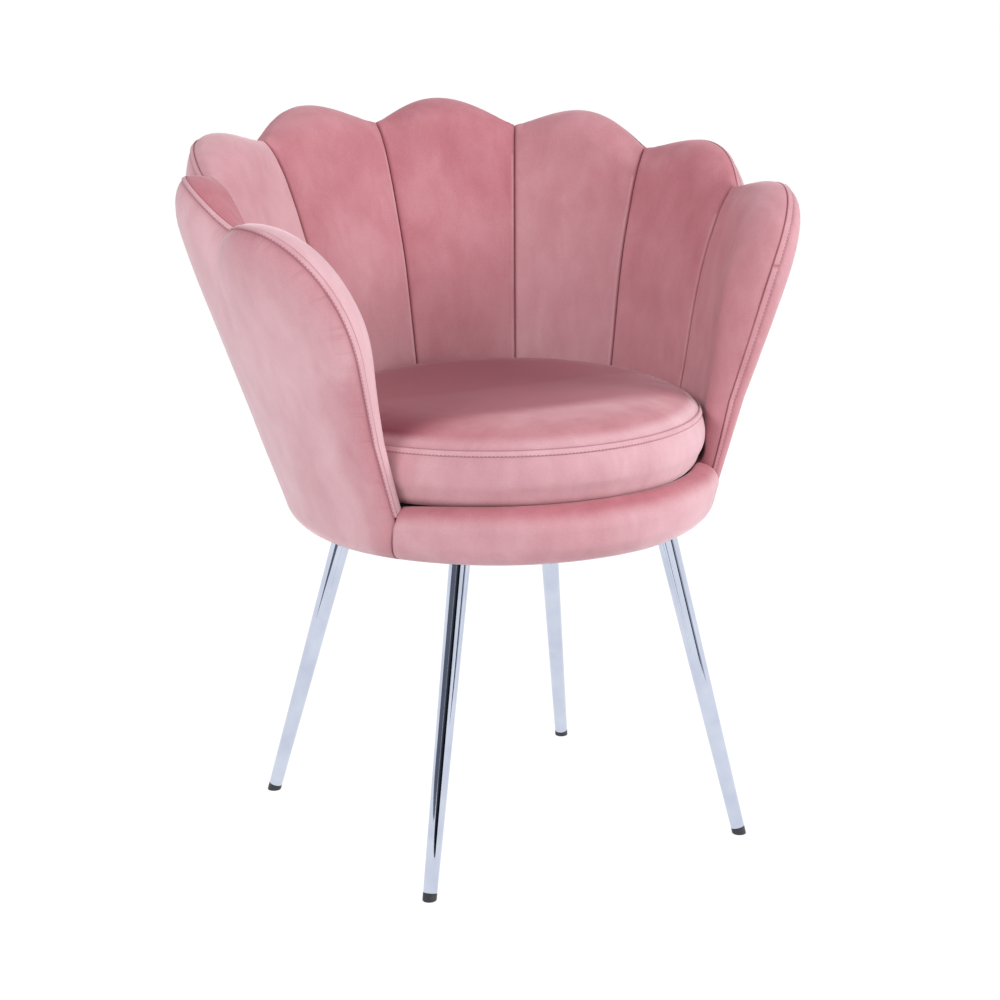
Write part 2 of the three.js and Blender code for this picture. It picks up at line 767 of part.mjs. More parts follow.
function cushionFoam() {
  const floor = cushionBottom + coverThickness + gap;
  const skin = cushionProfile(coverThickness + gap);
  const start = [skin[0][0], 0, floor];
  return cushionSolid([start, ...skin], false);
}

function cushionBasePanel() {
  const rim = cushionRing(cushionEdgeRadius + gap, 1, 0);
  return disc(rim.map((point) => new THREE.Vector2(point.x, point.y)), cushionBottom, coverThickness);
}

// The flat welt under the cushion's top seam.
function cushionWelt() {
  const upper = cushionSeamHeight;
  const lower = cushionSeamHeight - weltWidth;
  const drawn = (z) => lerp(-cushionSwell, cushionSeamInset, shareBetween(z, sideMiddle, cushionSeamHeight));
  return cushionSolid(
    [
      [drawn(upper) - gap, 1, upper],
      [drawn(lower) - gap, 1, lower],
      [drawn(lower) - gap - weltThickness, 1, lower],
      [drawn(upper) - gap - weltThickness, 1, upper],
    ],
    true,
  );
}

// Legs and their fixings

const legs = [
  ["front_left", -1, -1],
  ["front_right", 1, -1],
  ["back_left", -1, 1],
  ["back_right", 1, 1],
].map(([name, sideways, rearward]) => {
  const reach = undersideHalfWidth - (rearward > 0 ? backLegTopInset : frontLegTopInset);
  const angle = rearward > 0 ? backLegAngle : frontLegAngle;
  const footReach = rearward > 0 ? backFootReach : frontFootReach;
  const across = sideways * reach * Math.sin(angle);
  const top = new THREE.Vector3(across, rearward * reach * Math.cos(angle), plateBottom - gap);
  const foot = new THREE.Vector3(sideways * footHalfWidth, rearward * footReach, 0);
  return { name, foot, top };
});

// Stands a turned piece, made along +Y, on a leg's foot and along the leg.
function alongLeg(geometry, leg) {
  const way = leg.top.clone().sub(leg.foot).normalize();
  const turn = new THREE.Quaternion().setFromUnitVectors(new THREE.Vector3(0, 1, 0), way);
  return geometry.applyQuaternion(turn).translate(leg.foot.x, leg.foot.y, leg.foot.z);
}

function horizontalCut(z, upwards) {
  const size = 2 * (backFootReach + footHalfWidth);
  const block = new THREE.BoxGeometry(size, size, size);
  return block.translate(0, 0, z + ((upwards ? 1 : -1) * size) / 2);
}

const turned = (points, spans = legSpanCount) =>
  new THREE.LatheGeometry(points.map(([radius, height]) => new THREE.Vector2(radius, height)), spans);

// A tapered tube, cut level under its plate.
function legTube(leg) {
  const length = leg.top.distanceTo(leg.foot);
  const radiusAt = (height) => lerp(legFootRadius, legTopRadius, height / length);
  const [low, high] = [capHeight + gap, length + overrun];
  const tube = turned([
    [radiusAt(low) - legWallThickness, low],
    [radiusAt(low), low],
    [radiusAt(high), high],
    [radiusAt(high) - legWallThickness, high],
    [radiusAt(low) - legWallThickness, low],
  ]);
  return cutWith(alongLeg(tube, leg), [horizontalCut(leg.top.z, true)]);
}

// The plastic foot: a plug in the tube and a collar cut level with the floor.
function footCap(leg) {
  const plug = legFootRadius - legWallThickness - gap;
  const cap = turned([
    [0, -overrun],
    [legFootRadius, -overrun],
    [legFootRadius, capHeight],
    [plug, capHeight],
    [plug, capHeight + capPlugLength],
    [0, capHeight + capPlugLength],
  ]);
  return cutWith(alongLeg(cap, leg), [horizontalCut(0, false)]);
}

// The places of a plate's three screws, seen from above: two beside the leg and one inwards.
function screwPlaces(leg) {
  const outward = new THREE.Vector2(leg.top.x, leg.top.y).normalize();
  const sideways = new THREE.Vector2(-outward.y, outward.x);
  const place = (inset, aside) =>
    new THREE.Vector2(leg.top.x, leg.top.y).addScaledVector(outward, -inset).addScaledVector(sideways, aside);
  return [
    place(plateSideHoleInset, -plateSideHoleReach),
    place(plateSideHoleInset, plateSideHoleReach),
    place(plateInnerHoleInset, 0),
  ];
}

// An outline round convex corners, with its corners rounded.
function roundedOutline(corners, radius, arcSpans = plateCornerSpanCount) {
  const centre = corners.reduce((sum, p) => sum.add(p), new THREE.Vector2()).divideScalar(corners.length);
  const bearing = (p) => Math.atan2(p.y - centre.y, p.x - centre.x);
  const ring = [...corners].sort((p, q) => bearing(p) - bearing(q));
  const facing = (p, q) => Math.atan2(q.y - p.y, q.x - p.x) - Math.PI / 2;
  return ring.flatMap((corner, i) => {
    const before = ring[(i + ring.length - 1) % ring.length];
    const after = ring[(i + 1) % ring.length];
    const start = facing(before, corner);
    const bend = (facing(corner, after) - start + 4 * Math.PI) % (2 * Math.PI);
    return Array.from({ length: arcSpans + 1 }, (_, k) => {
      const turn = start + (bend * k) / arcSpans;
      return new THREE.Vector2(corner.x + radius * Math.cos(turn), corner.y + radius * Math.sin(turn));
    });
  });
}

function uprightRod(place, radius, bottom, height) {
  const rod = new THREE.CylinderGeometry(radius, radius, height, screwSpanCount).rotateX(Math.PI / 2);
  return rod.translate(place.x, place.y, bottom + height / 2);
}

const legScrewHoles = legs.flatMap((leg) =>
  screwPlaces(leg).map((place) =>
    uprightRod(place, screwRadius + gap, plateBottom - overrun, overrun + plateThickness + screwLength),
  ),
);

function legPlate(leg) {
  const corners = [...screwPlaces(leg), new THREE.Vector2(leg.top.x, leg.top.y)];
  const blank = disc(roundedOutline(corners, plateCornerRadius), plateBottom, plateThickness);
  return cutWith(blank, legScrewHoles);
}

// A pan head screw that points upwards from under the plate.
function legScrew(place) {
  const seat = plateBottom - gap;
  const screw = turned(
    [
      [0, -screwHeadHeight],
      [screwHeadRadius * screwDomeShare, -screwHeadHeight],
      [screwHeadRadius, -screwHeadHeight / 2],
      [screwHeadRadius, 0],
      [screwRadius, 0],
      [screwRadius, screwLength],
      [0, screwLength],
    ],
    screwSpanCount,
  );
  return screw.rotateX(Math.PI / 2).translate(place.x, place.y, seat);
}

// Screws that hold the shell to the ring, with sunk heads

const shellScrewHeight = (ringBottom + ringTop) / 2;

function shellScrewAt(angle, swell) {
  const screw = turned(
    [
      [0, -shellScrewLength - swell],
      [shellScrewRadius + swell, -shellScrewLength - swell],
      [shellScrewRadius + swell, -shellScrewHeadHeight],
      [shellScrewHeadRadius + swell, 0],
      [shellScrewHeadRadius + swell, swell ? overrun : 0],
      [0, swell ? overrun : 0],
    ].filter((point, i, all) => !i || point.some((value, k) => value !== all[i - 1][k])),
    screwSpanCount,
  );
  const head = wallPoint(angle, shellScrewHeight, shellFace - shellScrewSink);
  return screw.rotateZ(-angle).translate(head.x, head.y, head.z);
}

function shellScrewHoles() {
  return shellScrewAngles.map((angle) => shellScrewAt(angle, gap));
}

// Finishes

const velvet = { color: 0xc98e97, roughness: 0.85, metalness: 0 };
const blackCloth = { color: 0x1c1c1e, roughness: 0.95, metalness: 0 };
const plywood = { color: 0xc9a676, roughness: 0.7, metalness: 0 };
const foam = { color: 0xe8dcae, roughness: 0.9, metalness: 0 };
const chrome = { color: 0xd5d9e2, roughness: 0.08, metalness: 1 };
const steel = { color: 0x8d9096, roughness: 0.4, metalness: 1 };
const blackPlastic = { color: 0x2a2c30, roughness: 0.5, metalness: 0 };

function part(name, geometry, finish) {
  const mesh = new THREE.Mesh(geometry, new THREE.MeshStandardMaterial(finish));
  mesh.name = name;
  return mesh;
}

function baseGroup() {
  const base = new THREE.Group();
  const liningRadius = lipRadius - gap;
  const holed = (geometry) => cutWith(geometry, legScrewHoles);
  base.add(
    part("seat_board", holed(seatBoard()), plywood),
    part("dust_cover", holed(disc(circleOutline(liningRadius), undersideHeight, clothThickness)), blackCloth),
    part("base_ring", baseRing(), plywood),
    part("deck_board", disc(deckOutline(), padBottom, deckThickness), plywood),
    part("deck_cloth", disc(deckOutline(), deckClothBottom, clothThickness), blackCloth),
    part("front_rail_pad", frontRailPad(), velvet),
  );
  return base;
}

function tubGroup() {
  const tub = new THREE.Group();
  petals.forEach((ribs, i) => tub.add(part(`channel_pad_${i + 1}`, channelPad(ribs), velvet)));
  tub.add(
    part("back_shell", backShell(), plywood),
    part("outer_cover", outerCover(), velvet),
    part("rim_welt", rimWelt(), velvet),
  );
  shellScrewAngles.forEach((angle, i) => {
    tub.add(part(`shell_screw_${i + 1}`, shellScrewAt(angle, 0), steel));
  });
  return tub;
}

function legGroup(leg) {
  const group = new THREE.Group();
  group.add(
    part(`leg_${leg.name}`, legTube(leg), chrome),
    part(`leg_plate_${leg.name}`, legPlate(leg), steel),
    part(`foot_cap_${leg.name}`, footCap(leg), blackPlastic),
  );
  screwPlaces(leg).forEach((place, i) => {
    group.add(part(`leg_screw_${leg.name}_${i + 1}`, legScrew(place), steel));
  });
  return group;
}

function cushionGroup() {
  const cushion = new THREE.Group();
  cushion.add(
    part("cushion_foam", cushionFoam(), foam),
    part("cushion_cover", cushionCover(), velvet),
    part("cushion_base_panel", cushionBasePanel(), blackCloth),
    part("cushion_welt", cushionWelt(), velvet),
  );
  return cushion;
}

// The pieces are made round the tub's axis. The chair's origin is under the middle of its
// footprint, so it stands back from that axis.
const pieces = new THREE.Group();
pieces.add(baseGroup(), tubGroup(), cushionGroup(), ...legs.map(legGroup));
const footprint = new THREE.Box3().setFromObject(pieces, true);
pieces.position.y = -(footprint.min.y + footprint.max.y) / 2;

const chair = new THREE.Group();
chair.add(pieces);

export default chair;
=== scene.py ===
# %% [markdown]
# # A scallop back chair
# The chair is a padded tub on four splayed steel legs. Its back is eight padded channels,
# like petals, whose rounded tops make the scalloped rim. A round loose cushion lies in it.
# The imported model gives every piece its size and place. This file gives the pieces their
# soft forms, seams, stitches and finishes, one step at a time.

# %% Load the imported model
import math
from collections import namedtuple

import bmesh
import bpy
from mathutils import Matrix, Quaternion, Vector, noise


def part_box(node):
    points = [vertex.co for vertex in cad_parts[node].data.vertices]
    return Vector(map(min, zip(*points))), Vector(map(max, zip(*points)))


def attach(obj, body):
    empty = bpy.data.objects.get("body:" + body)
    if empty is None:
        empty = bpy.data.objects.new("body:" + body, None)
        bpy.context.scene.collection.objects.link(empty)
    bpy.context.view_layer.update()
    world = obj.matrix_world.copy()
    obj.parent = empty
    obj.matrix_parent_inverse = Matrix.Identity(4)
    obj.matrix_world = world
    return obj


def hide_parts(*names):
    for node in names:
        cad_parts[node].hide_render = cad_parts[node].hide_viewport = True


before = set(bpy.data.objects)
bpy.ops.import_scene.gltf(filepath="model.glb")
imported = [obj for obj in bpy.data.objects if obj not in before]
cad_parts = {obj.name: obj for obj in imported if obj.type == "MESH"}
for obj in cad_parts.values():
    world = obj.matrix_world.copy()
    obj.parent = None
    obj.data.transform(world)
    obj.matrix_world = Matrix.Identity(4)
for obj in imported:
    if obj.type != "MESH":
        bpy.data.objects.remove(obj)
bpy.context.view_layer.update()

# %% [markdown]
# ## The camera
# The photograph was taken from the front left with a long lens, a little above the seat.
# The camera stands where its four feet, rim and seams fall on the same places in the picture.

# %% Camera
PHOTO_LENS_SHARE = 2.68954  # focal length as a share of the picture's width


def turned_camera(azimuth, elevation, roll):
    """The rotation of a camera that looks back along a bearing, with its roll, in degrees."""
    a, e = math.radians(azimuth), math.radians(elevation)
    back = Vector((math.sin(a) * math.cos(e), -math.cos(a) * math.cos(e), math.sin(e)))
    return (-back).to_track_quat("-Z", "Y") @ Quaternion((0, 0, 1), math.radians(roll))


camera_data = bpy.data.cameras.new("camera")
camera_data.sensor_width = 36
camera_data.lens = 36 * PHOTO_LENS_SHARE
camera_data.dof.use_dof = False
camera = bpy.data.objects.new("camera", camera_data)
camera.location = (-1.40181, -2.58857, 1.08102)
camera.rotation_mode = "QUATERNION"
camera.rotation_quaternion = turned_camera(-28.879, 13.820, -0.477)
bpy.context.scene.collection.objects.link(camera)
bpy.context.scene.camera = camera
bpy.context.scene.view_settings.view_transform = "Standard"
print("camera at", [round(x, 3) for x in camera.location])

# %% [markdown]
# ## Colours and nodes
# Colours are written as they look on a screen, and one function turns them to the linear
# values that Blender mixes. One small function adds a shader node with its links.

# %% Colour and node helpers


def linear(code, alpha=1.0):
    """A screen colour such as "c5868f" in linear light."""
    parts = [int(code[i : i + 2], 16) / 255 for i in (0, 2, 4)]
    light = [p / 12.92 if p <= 0.04045 else ((p + 0.055) / 1.055) ** 2.4 for p in parts]
    return (*light, alpha)


def add_node(tree, kind, inputs=None, **settings):
    """Adds a node with its settings, and values or links for its inputs."""
    made = tree.nodes.new(kind)
    for name, value in settings.items():
        setattr(made, name, value)
    for name, value in (inputs or {}).items():
        socket = made.inputs[name]
        if isinstance(value, bpy.types.NodeSocket):
            tree.links.new(value, socket)
        else:
            socket.default_value = value
    return made


def new_material(name, **shader_values):
    """A material and its shader, with the values that are the same all over."""
    material = bpy.data.materials.new(name)
    material.use_nodes = True
    shader = material.node_tree.nodes["Principled BSDF"]
    for socket, value in shader_values.items():
        shader.inputs[socket.replace("_", " ")].default_value = value
    return material, material.node_tree, shader


def colour_ramp(tree, factor, stops):
    """A ramp from (place, screen colour) stops."""
    ramp = add_node(tree, "ShaderNodeValToRGB", {"Fac": factor})
    elements = ramp.color_ramp.elements
    while len(elements) < len(stops):
        elements.new(0.5)
    for element, (place, code) in zip(elements, stops):
        element.position = place
        element.color = linear(code)
    return ramp.outputs["Color"]


def sum_of(tree, parts):
    """The sum of (socket, weight) parts."""
    total = None
    for socket, weight in parts:
        inputs = {0: socket, 1: weight}
        part = add_node(tree, "ShaderNodeMath", inputs, operation="MULTIPLY").outputs[0]
        if total is None:
            total = part
        else:
            total = add_node(tree, "ShaderNodeMath", {0: total, 1: part}).outputs[0]
    return total


print("helpers ready")

# %% [markdown]
# ## Velvet
# The cover is a polyester velvet. Where its short pile leans towards the eye the cloth looks
# dark and rosy, and where it leans away the cloth looks pale and shows a sheen; here that light
# and shade is painted. The pieces carry an attribute of painted light, from 0 for painted shade
# to 1 for pale with more sheen, set piece by piece and along each piece. Large soft clouds and
# brush marks come from two sizes of noise, the pile from a fine one. A second attribute paints
# shade into seams, creases and grooves, and a painted shadow onto the cushion's top.

# %% Velvet material
CLOUD_SIZE = 0.150
BRUSH_SIZE = 0.026
PILE_SIZE = 0.0011  # about twice the real pile, so that it shows
PAINTED_LIGHT_SHIFT = 0.34  # how much the clouds change the painted light and shade


def velvet(name, shaded_stops, lit_stops, painted_shade_colour):
    material, tree, shader = new_material(
        name,
        Roughness=0.85,
        Specular_IOR_Level=0.2,
        Sheen_Roughness=0.4,
        Sheen_Tint=linear("f6e3e6"),
    )
    place = add_node(tree, "ShaderNodeTexCoord").outputs["Object"]
    lean = add_node(tree, "ShaderNodeMapping", {"Vector": place, "Scale": (1.0, 1.0, 0.4)})

    def clouds(size, detail, distortion=0.0, vector=place):
        inputs = {
            "Vector": vector,
            "Scale": 1 / size,
            "Detail": detail,
            "Roughness": 0.55,
            "Distortion": distortion,
        }
        return add_node(tree, "ShaderNodeTexNoise", inputs).outputs["Fac"]

    def mixed(factor, first, second):
        inputs = {"Factor": factor, 6: first, 7: second}
        return add_node(tree, "ShaderNodeMix", inputs, data_type="RGBA").outputs[2]

    cloud = clouds(CLOUD_SIZE, 3, 0.3)
    brush = clouds(BRUSH_SIZE, 3, 0.4, lean.outputs["Vector"])
    pile = clouds(PILE_SIZE, 2)
    shade = sum_of(tree, [(cloud, 0.35), (brush, 0.35), (pile, 0.3)])
    # Painted light and sheen: an attribute mixes a shaded copy of the velvet's colour with a lit, paler copy, and sets
    # how much sheen it shows.
    given = add_node(tree, "ShaderNodeAttribute", attribute_name="painted_light").outputs["Fac"]
    shift = add_node(tree, "ShaderNodeMath", {0: cloud, 1: 0.5}, operation="SUBTRACT").outputs[0]
    painted_light = sum_of(tree, [(given, 1.0), (shift, PAINTED_LIGHT_SHIFT)])
    dark = colour_ramp(tree, shade, shaded_stops)
    pale = colour_ramp(tree, shade, lit_stops)
    # Painted shade: a second attribute darkens the colour towards a deep rose in seams, creases and grooves, and under
    # the painted shadow on the cushion.
    painted_shade = add_node(tree, "ShaderNodeAttribute", attribute_name="painted_shade").outputs["Fac"]
    colour = mixed(painted_shade, mixed(painted_light, dark, pale), linear(painted_shade_colour))
    tree.links.new(colour, shader.inputs["Base Color"])
    sheen = add_node(tree, "ShaderNodeMapRange", {"Value": painted_light, "To Min": 0.30, "To Max": 0.85})
    tree.links.new(sheen.outputs["Result"], shader.inputs["Sheen Weight"])
    height = sum_of(tree, [(pile, 0.5), (brush, 0.5)])
    bump = add_node(tree, "ShaderNodeBump", {"Height": height, "Strength": 0.3, "Distance": 0.0006})
    tree.links.new(bump.outputs["Normal"], shader.inputs["Normal"])
    return material


rose_velvet = velvet(
    "rose_polyester_velvet",
    # Shaded colours, lit colours, and the colour of painted shade.
    [(0.30, "a9616b"), (0.50, "b8747d"), (0.70, "c5878f")],
    [(0.30, "cc9ca4"), (0.50, "d8adb4"), (0.70, "e3bfc5")],
    "8f4552",
)
print(rose_velvet.name)

# %% [markdown]
# ## The other finishes
# The legs are plated steel tube, polished like a mirror. Their caps are black moulded
# plastic. Under the seat are a black spun-bonded cloth, plywood and zinc-plated screws.

# %% Metal, plastic, cloth and wood materials


def surface_noise(tree, size, detail=2, stretch=(1.0, 1.0, 1.0)):
    """Noise of a real size in metres on object coordinates."""
    place = add_node(tree, "ShaderNodeTexCoord").outputs["Object"]
    spread = add_node(tree, "ShaderNodeMapping", {"Vector": place, "Scale": stretch})
    inputs = {"Vector": spread.outputs["Vector"], "Scale": 1 / size, "Detail": detail}
    return add_node(tree, "ShaderNodeTexNoise", inputs).outputs["Fac"]


def varied(name, stops, size, bump_depth, detail=2, stretch=(1.0, 1.0, 1.0), rough=None, **values):
    """A material whose colour, and maybe roughness, varies with one noise that is also its relief."""
    material, tree, shader = new_material(name, **values)
    grain = surface_noise(tree, size, detail, stretch)
    tree.links.new(colour_ramp(tree, grain, stops), shader.inputs["Base Color"])
    if rough:
        inputs = {"Value": grain, "To Min": rough[0], "To Max": rough[1]}
        spread = add_node(tree, "ShaderNodeMapRange", inputs)
        tree.links.new(spread.outputs["Result"], shader.inputs["Roughness"])
    bump = add_node(tree, "ShaderNodeBump", {"Height": grain, "Strength": 0.4, "Distance": bump_depth})
    tree.links.new(bump.outputs["Normal"], shader.inputs["Normal"])
    return material


# Chromium plate over polished tube: a mirror with faint hand marks.
chrome = varied(
    "chromium_plated_tube",
    [(0.3, "c0c7da"), (0.7, "ccd3e2")],
    0.030,
    0.00001,
    rough=(0.03, 0.09),
    Metallic=1.0,
)
# Zinc plate on stamped steel: a duller grey with a fine crystal pattern.
zinc = varied(
    "zinc_plated_steel",
    [(0.3, "85898f"), (0.7, "a3a7ac")],
    0.004,
    0.00003,
    rough=(0.3, 0.5),
    Metallic=1.0,
)
# Moulded polyethylene: black, with a matt mould texture.
black_plastic = varied(
    "moulded_black_polyethylene",
    [(0.3, "26282c"), (0.7, "34373b")],
    0.0012,
    0.00005,
    rough=(0.45, 0.6),
)
# Spun-bonded polypropylene: black felted fibres, pressed flat.
spun_cloth = varied(
    "black_spun_bonded_cloth",
    [(0.3, "101012"), (0.7, "222225")],
    0.0015,
    0.0002,
    detail=4,
    Roughness=0.95,
    Sheen_Weight=0.15,
)
# Birch plywood: bare, with long grain.
plywood = varied(
    "bare_birch_plywood",
    [(0.3, "b38d5c"), (0.7, "d3b384")],
    0.006,
    0.0001,
    detail=5,
    stretch=(1.0, 0.08, 1.0),
    Roughness=0.7,
)
# Polyester sewing thread, a shade darker than the velvet.
thread = varied(
    "polyester_thread",
    [(0.3, "8f4d58"), (0.7, "b0727c")],
    0.0005,
    0.0001,
    Roughness=0.6,
    Sheen_Weight=0.3,
)
print("finishes:", ", ".join(m.name for m in bpy.data.materials if m.users or m.use_nodes))

# %% [markdown]
# ## The shape of the tub
# The tub is a cone that is a little shallower than wide. A place on it is an angle round the
# tub from the middle of the back, a height, and an offset from the middle of the wall. The
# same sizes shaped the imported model, so the soft pieces fit it without being measured.

# %% The wall of the tub
GAP = 0.0003
TUB_Y = sum(corner.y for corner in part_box("seat_board")) / 2
UNDERSIDE = 0.350
BOARD_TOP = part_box("seat_board")[1].z
PAD_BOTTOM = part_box("deck_board")[0].z
SEAT_LEVEL = 0.480
BACK_PEAK = 0.783
WIDTH_AT_UNDERSIDE = 0.2287  # of the cone, without its rounded edge
WIDTH_AT_TOP = 0.383
LOW_WALL = 0.033
FULL_WALL = 0.058
FULL_WALL_LEVEL = 0.640
DEPTH_LOSS = 0.033
BACK_THICKENING = 0.007
OUTER_SWELL = 0.003
EDGE_RADIUS = 0.040
SHELL_FACE = 0.006
WALL_SLOPE = (WIDTH_AT_TOP - WIDTH_AT_UNDERSIDE) / (BACK_PEAK - UNDERSIDE)
WALL_LEAN = math.atan(WALL_SLOPE)
EDGE_TANGENT = UNDERSIDE + EDGE_RADIUS * (1 - math.sin(WALL_LEAN))


def mix(a, b, share):
    return a + (b - a) * share


def share_between(value, low, high):
    return min(1.0, max(0.0, (value - low) / (high - low)))


def smooth_between(value, low, high):
    share = share_between(value, low, high)
    return share * share * (3 - 2 * share)


def cone_width(z):
    return WIDTH_AT_UNDERSIDE + WALL_SLOPE * (z - UNDERSIDE)


def outer_width(z):
    """Half the tub's width outside, with the rounded edge under the seat."""
    if z >= EDGE_TANGENT:
        return cone_width(z)
    below = UNDERSIDE + EDGE_RADIUS - z
    centre = cone_width(EDGE_TANGENT) - EDGE_RADIUS * math.cos(WALL_LEAN)
    return centre + math.sqrt(max(0.0, EDGE_RADIUS**2 - below**2))


def wall_thickness(z):
    return mix(LOW_WALL, FULL_WALL, smooth_between(z, CUSHION_BOTTOM, FULL_WALL_LEVEL))


def mid_width(z):
    return cone_width(z) - wall_thickness(z) / 2


def thickening(angle, z):
    share = share_between(z, BOARD_TOP, SEAT_LEVEL)
    return BACK_THICKENING * share * max(0.0, math.cos(angle)) ** 2


def half_thickness(angle, z):
    return wall_thickness(z) / 2 + thickening(angle, z)


def outer_offset(angle, z):
    swell = OUTER_SWELL * math.sin(math.pi * share_between(z, BOARD_TOP, BACK_PEAK))
    return outer_width(z) - mid_width(z) + thickening(angle, z) + swell


def wall_point(angle, z, offset):
    across = mid_width(z) + offset
    deep = across - DEPTH_LOSS * share_between(z, BOARD_TOP, SEAT_LEVEL)
    return Vector((across * math.sin(angle), TUB_Y + deep * math.cos(angle), z))


CUSHION_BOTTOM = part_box("cushion_base_panel")[0].z
print("tub axis at y", round(TUB_Y, 4), "outside width at the top", round(2 * cone_width(BACK_PEAK), 3))

# %% [markdown]
# ## The scalloped rim
# Each petal's rim swells between two seams. From the rim, ribs run down to the foot of the
# wall: straight down on the back, and sideways off the upright front edge of each arm. Every
# padded piece of the wall is laid along these ribs, so neighbours meet exactly.

# %% Ribs of the wall
PETAL_ANGLE = math.radians(30)
ARM_SEAM = 3 * PETAL_ANGLE
ARM_EDGE = math.radians(125)
ARM_LEAN = math.radians(4.5)  # how far back the arm's seam runs beside the front rail
RIM_MIDDLE = 0.721
RIM_TILT = 0.064
SCALLOP_DEPTH = 0.025
SCALLOP_POWER = 1.35
ARM_CORNER_DROP = 0.150
ARM_CORNER_POWER = 2.1
RIM_BAND = 0.030
RIM_ROUNDING = 0.028
OUTER_ROUNDING = 0.062
VALLEY_PULL = 0.020
PEAK_PULL = 0.004
PULL_REACH = 0.0214
OUTER_PULL_REACH = 0.045  # the cover is drawn in further down below each valley
VALLEY_REACH = 0.020
PEAK_SHARE, CORNER_SHARE = 0.3, 0.7  # of an arm's petal: its highest point, its corner
UNROLL_RADIUS = mid_width((SEAT_LEVEL + BACK_PEAK) / 2)

Rib = namedtuple("Rib", "angle z turn foot across side")
Place = namedtuple("Place", "rib drop angle z")


def rim_height(angle):
    swell = abs(math.sin(math.pi * ((abs(angle) / PETAL_ANGLE) % 1))) ** SCALLOP_POWER
    return RIM_MIDDLE + RIM_TILT * math.cos(angle) - SCALLOP_DEPTH * (1 - swell)


ARM_PEAK = max((ARM_SEAM + PETAL_ANGLE * i / 480 for i in range(481)), key=rim_height)
ARM_CORNER_HEIGHT = rim_height(ARM_PEAK) - ARM_CORNER_DROP
ARM_CORNER_WIDTH = (ARM_EDGE - ARM_PEAK) * UNROLL_RADIUS
LAST_FOOT = ARM_EDGE - RIM_BAND / UNROLL_RADIUS


def arm_rib(across, side, bottom):
    """A rib of an arm's petal: over its peak, round its corner or off its upright edge."""
    if across <= PEAK_SHARE:
        angle = mix(ARM_SEAM, ARM_PEAK, across / PEAK_SHARE)
        return Rib(angle, rim_height(angle), 0.0, angle, across, side)
    foot = mix(ARM_PEAK, LAST_FOOT, (across - PEAK_SHARE) / (1 - PEAK_SHARE))
    if across >= CORNER_SHARE:
        z = mix(ARM_CORNER_HEIGHT, bottom, (across - CORNER_SHARE) / (1 - CORNER_SHARE))
        return Rib(ARM_EDGE, z, math.pi / 2, foot, across, side)
    sweep = math.pi / 2 * (across - PEAK_SHARE) / (CORNER_SHARE - PEAK_SHARE)
    out_share = math.sin(sweep) ** (2 / ARM_CORNER_POWER)
    up_share = math.cos(sweep) ** (2 / ARM_CORNER_POWER)
    out_slope = out_share ** (ARM_CORNER_POWER - 1) / ARM_CORNER_WIDTH
    up_slope = up_share ** (ARM_CORNER_POWER - 1) / ARM_CORNER_DROP
    angle = ARM_PEAK + out_share * ARM_CORNER_WIDTH / UNROLL_RADIUS
    z = ARM_CORNER_HEIGHT + up_share * ARM_CORNER_DROP
    return Rib(angle, z, math.atan2(out_slope, up_slope), foot, across, side)


def petal_rib(petal, across, bottom=PAD_BOTTOM):
    """A rib of petal 1 to 8, from the left arm to the right, at a share across it."""
    side = 1 if petal > 4 else -1
    order = petal - 5 if side > 0 else 4 - petal
    if order == 3:
        return arm_rib(across, side, bottom)
    angle = (order + across) * PETAL_ANGLE
    return Rib(angle, rim_height(angle), 0.0, angle, across, side)


def band_place(rib, drop):
    """The place on a rib at a drop from the rim, in the band that follows the rim."""
    angle = rib.angle - math.sin(rib.turn) * drop / UNROLL_RADIUS
    return Place(rib, drop, angle * rib.side, rib.z - math.cos(rib.turn) * drop)


def body_place(rib, share, bottom=PAD_BOTTOM):
    """The place on a rib below its band, at a share of the height down to its foot."""
    start = band_place(rib, RIM_BAND)
    start_angle = abs(start.angle)
    bend_z = (start.z + bottom) / 2
    if rib.turn > 0:
        bend_z = start.z - (start_angle - rib.foot) * UNROLL_RADIUS / math.tan(rib.turn)
    z = mix(start.z, bottom, share)
    sag = start.z - 2 * bend_z + bottom
    fall = start.z - bend_z
    down = start.z - z
    root = fall + math.sqrt(max(0.0, fall * fall - sag * down))
    t = down / root if root > 1e-9 else share
    angle = mix(mix(start_angle, rib.foot, t), rib.foot, t)
    drop = RIM_BAND + math.hypot((start_angle - angle) * UNROLL_RADIUS, down)
    return Place(rib, drop, angle * rib.side, z)


def seam_lean(z):
    return ARM_LEAN * share_between(z, PAD_BOTTOM, UNDERSIDE)


def leaned(place):
    """A place beside the front rail, moved back with the arm's leaning seam."""
    lean = seam_lean(place.z) * share_between(abs(place.angle), ARM_SEAM, ARM_EDGE)
    return place._replace(angle=place.angle - math.copysign(lean, place.angle))


def rounding(drop, radius=RIM_ROUNDING):
    return 1.0 if drop >= radius else math.sqrt(max(0.0, 1 - (1 - drop / radius) ** 2))


def outer_rounding(place):
    arm = share_between(place.rib.angle, ARM_SEAM - PETAL_ANGLE / 2, ARM_PEAK)
    drop = math.hypot(place.drop, max(0.0, PAD_BOTTOM - place.z))
    return rounding(drop, mix(OUTER_ROUNDING, RIM_ROUNDING, arm))


def valley_share(rib):
    """1 at a seam between petals and 0 in a petal's middle, none on an arm's upright edge."""
    across = min(rib.angle, ARM_PEAK) / PETAL_ANGLE % 1
    return (1 - math.sin(math.pi * across)) * math.cos(rib.turn) ** 2


def rim_pull(place):
    """How far the seams draw the outside of the rim inwards, most at the valleys."""
    at_rim = mix(PEAK_PULL * math.cos(place.rib.turn), VALLEY_PULL, valley_share(place.rib))
    return at_rim * math.exp(-place.drop / OUTER_PULL_REACH)


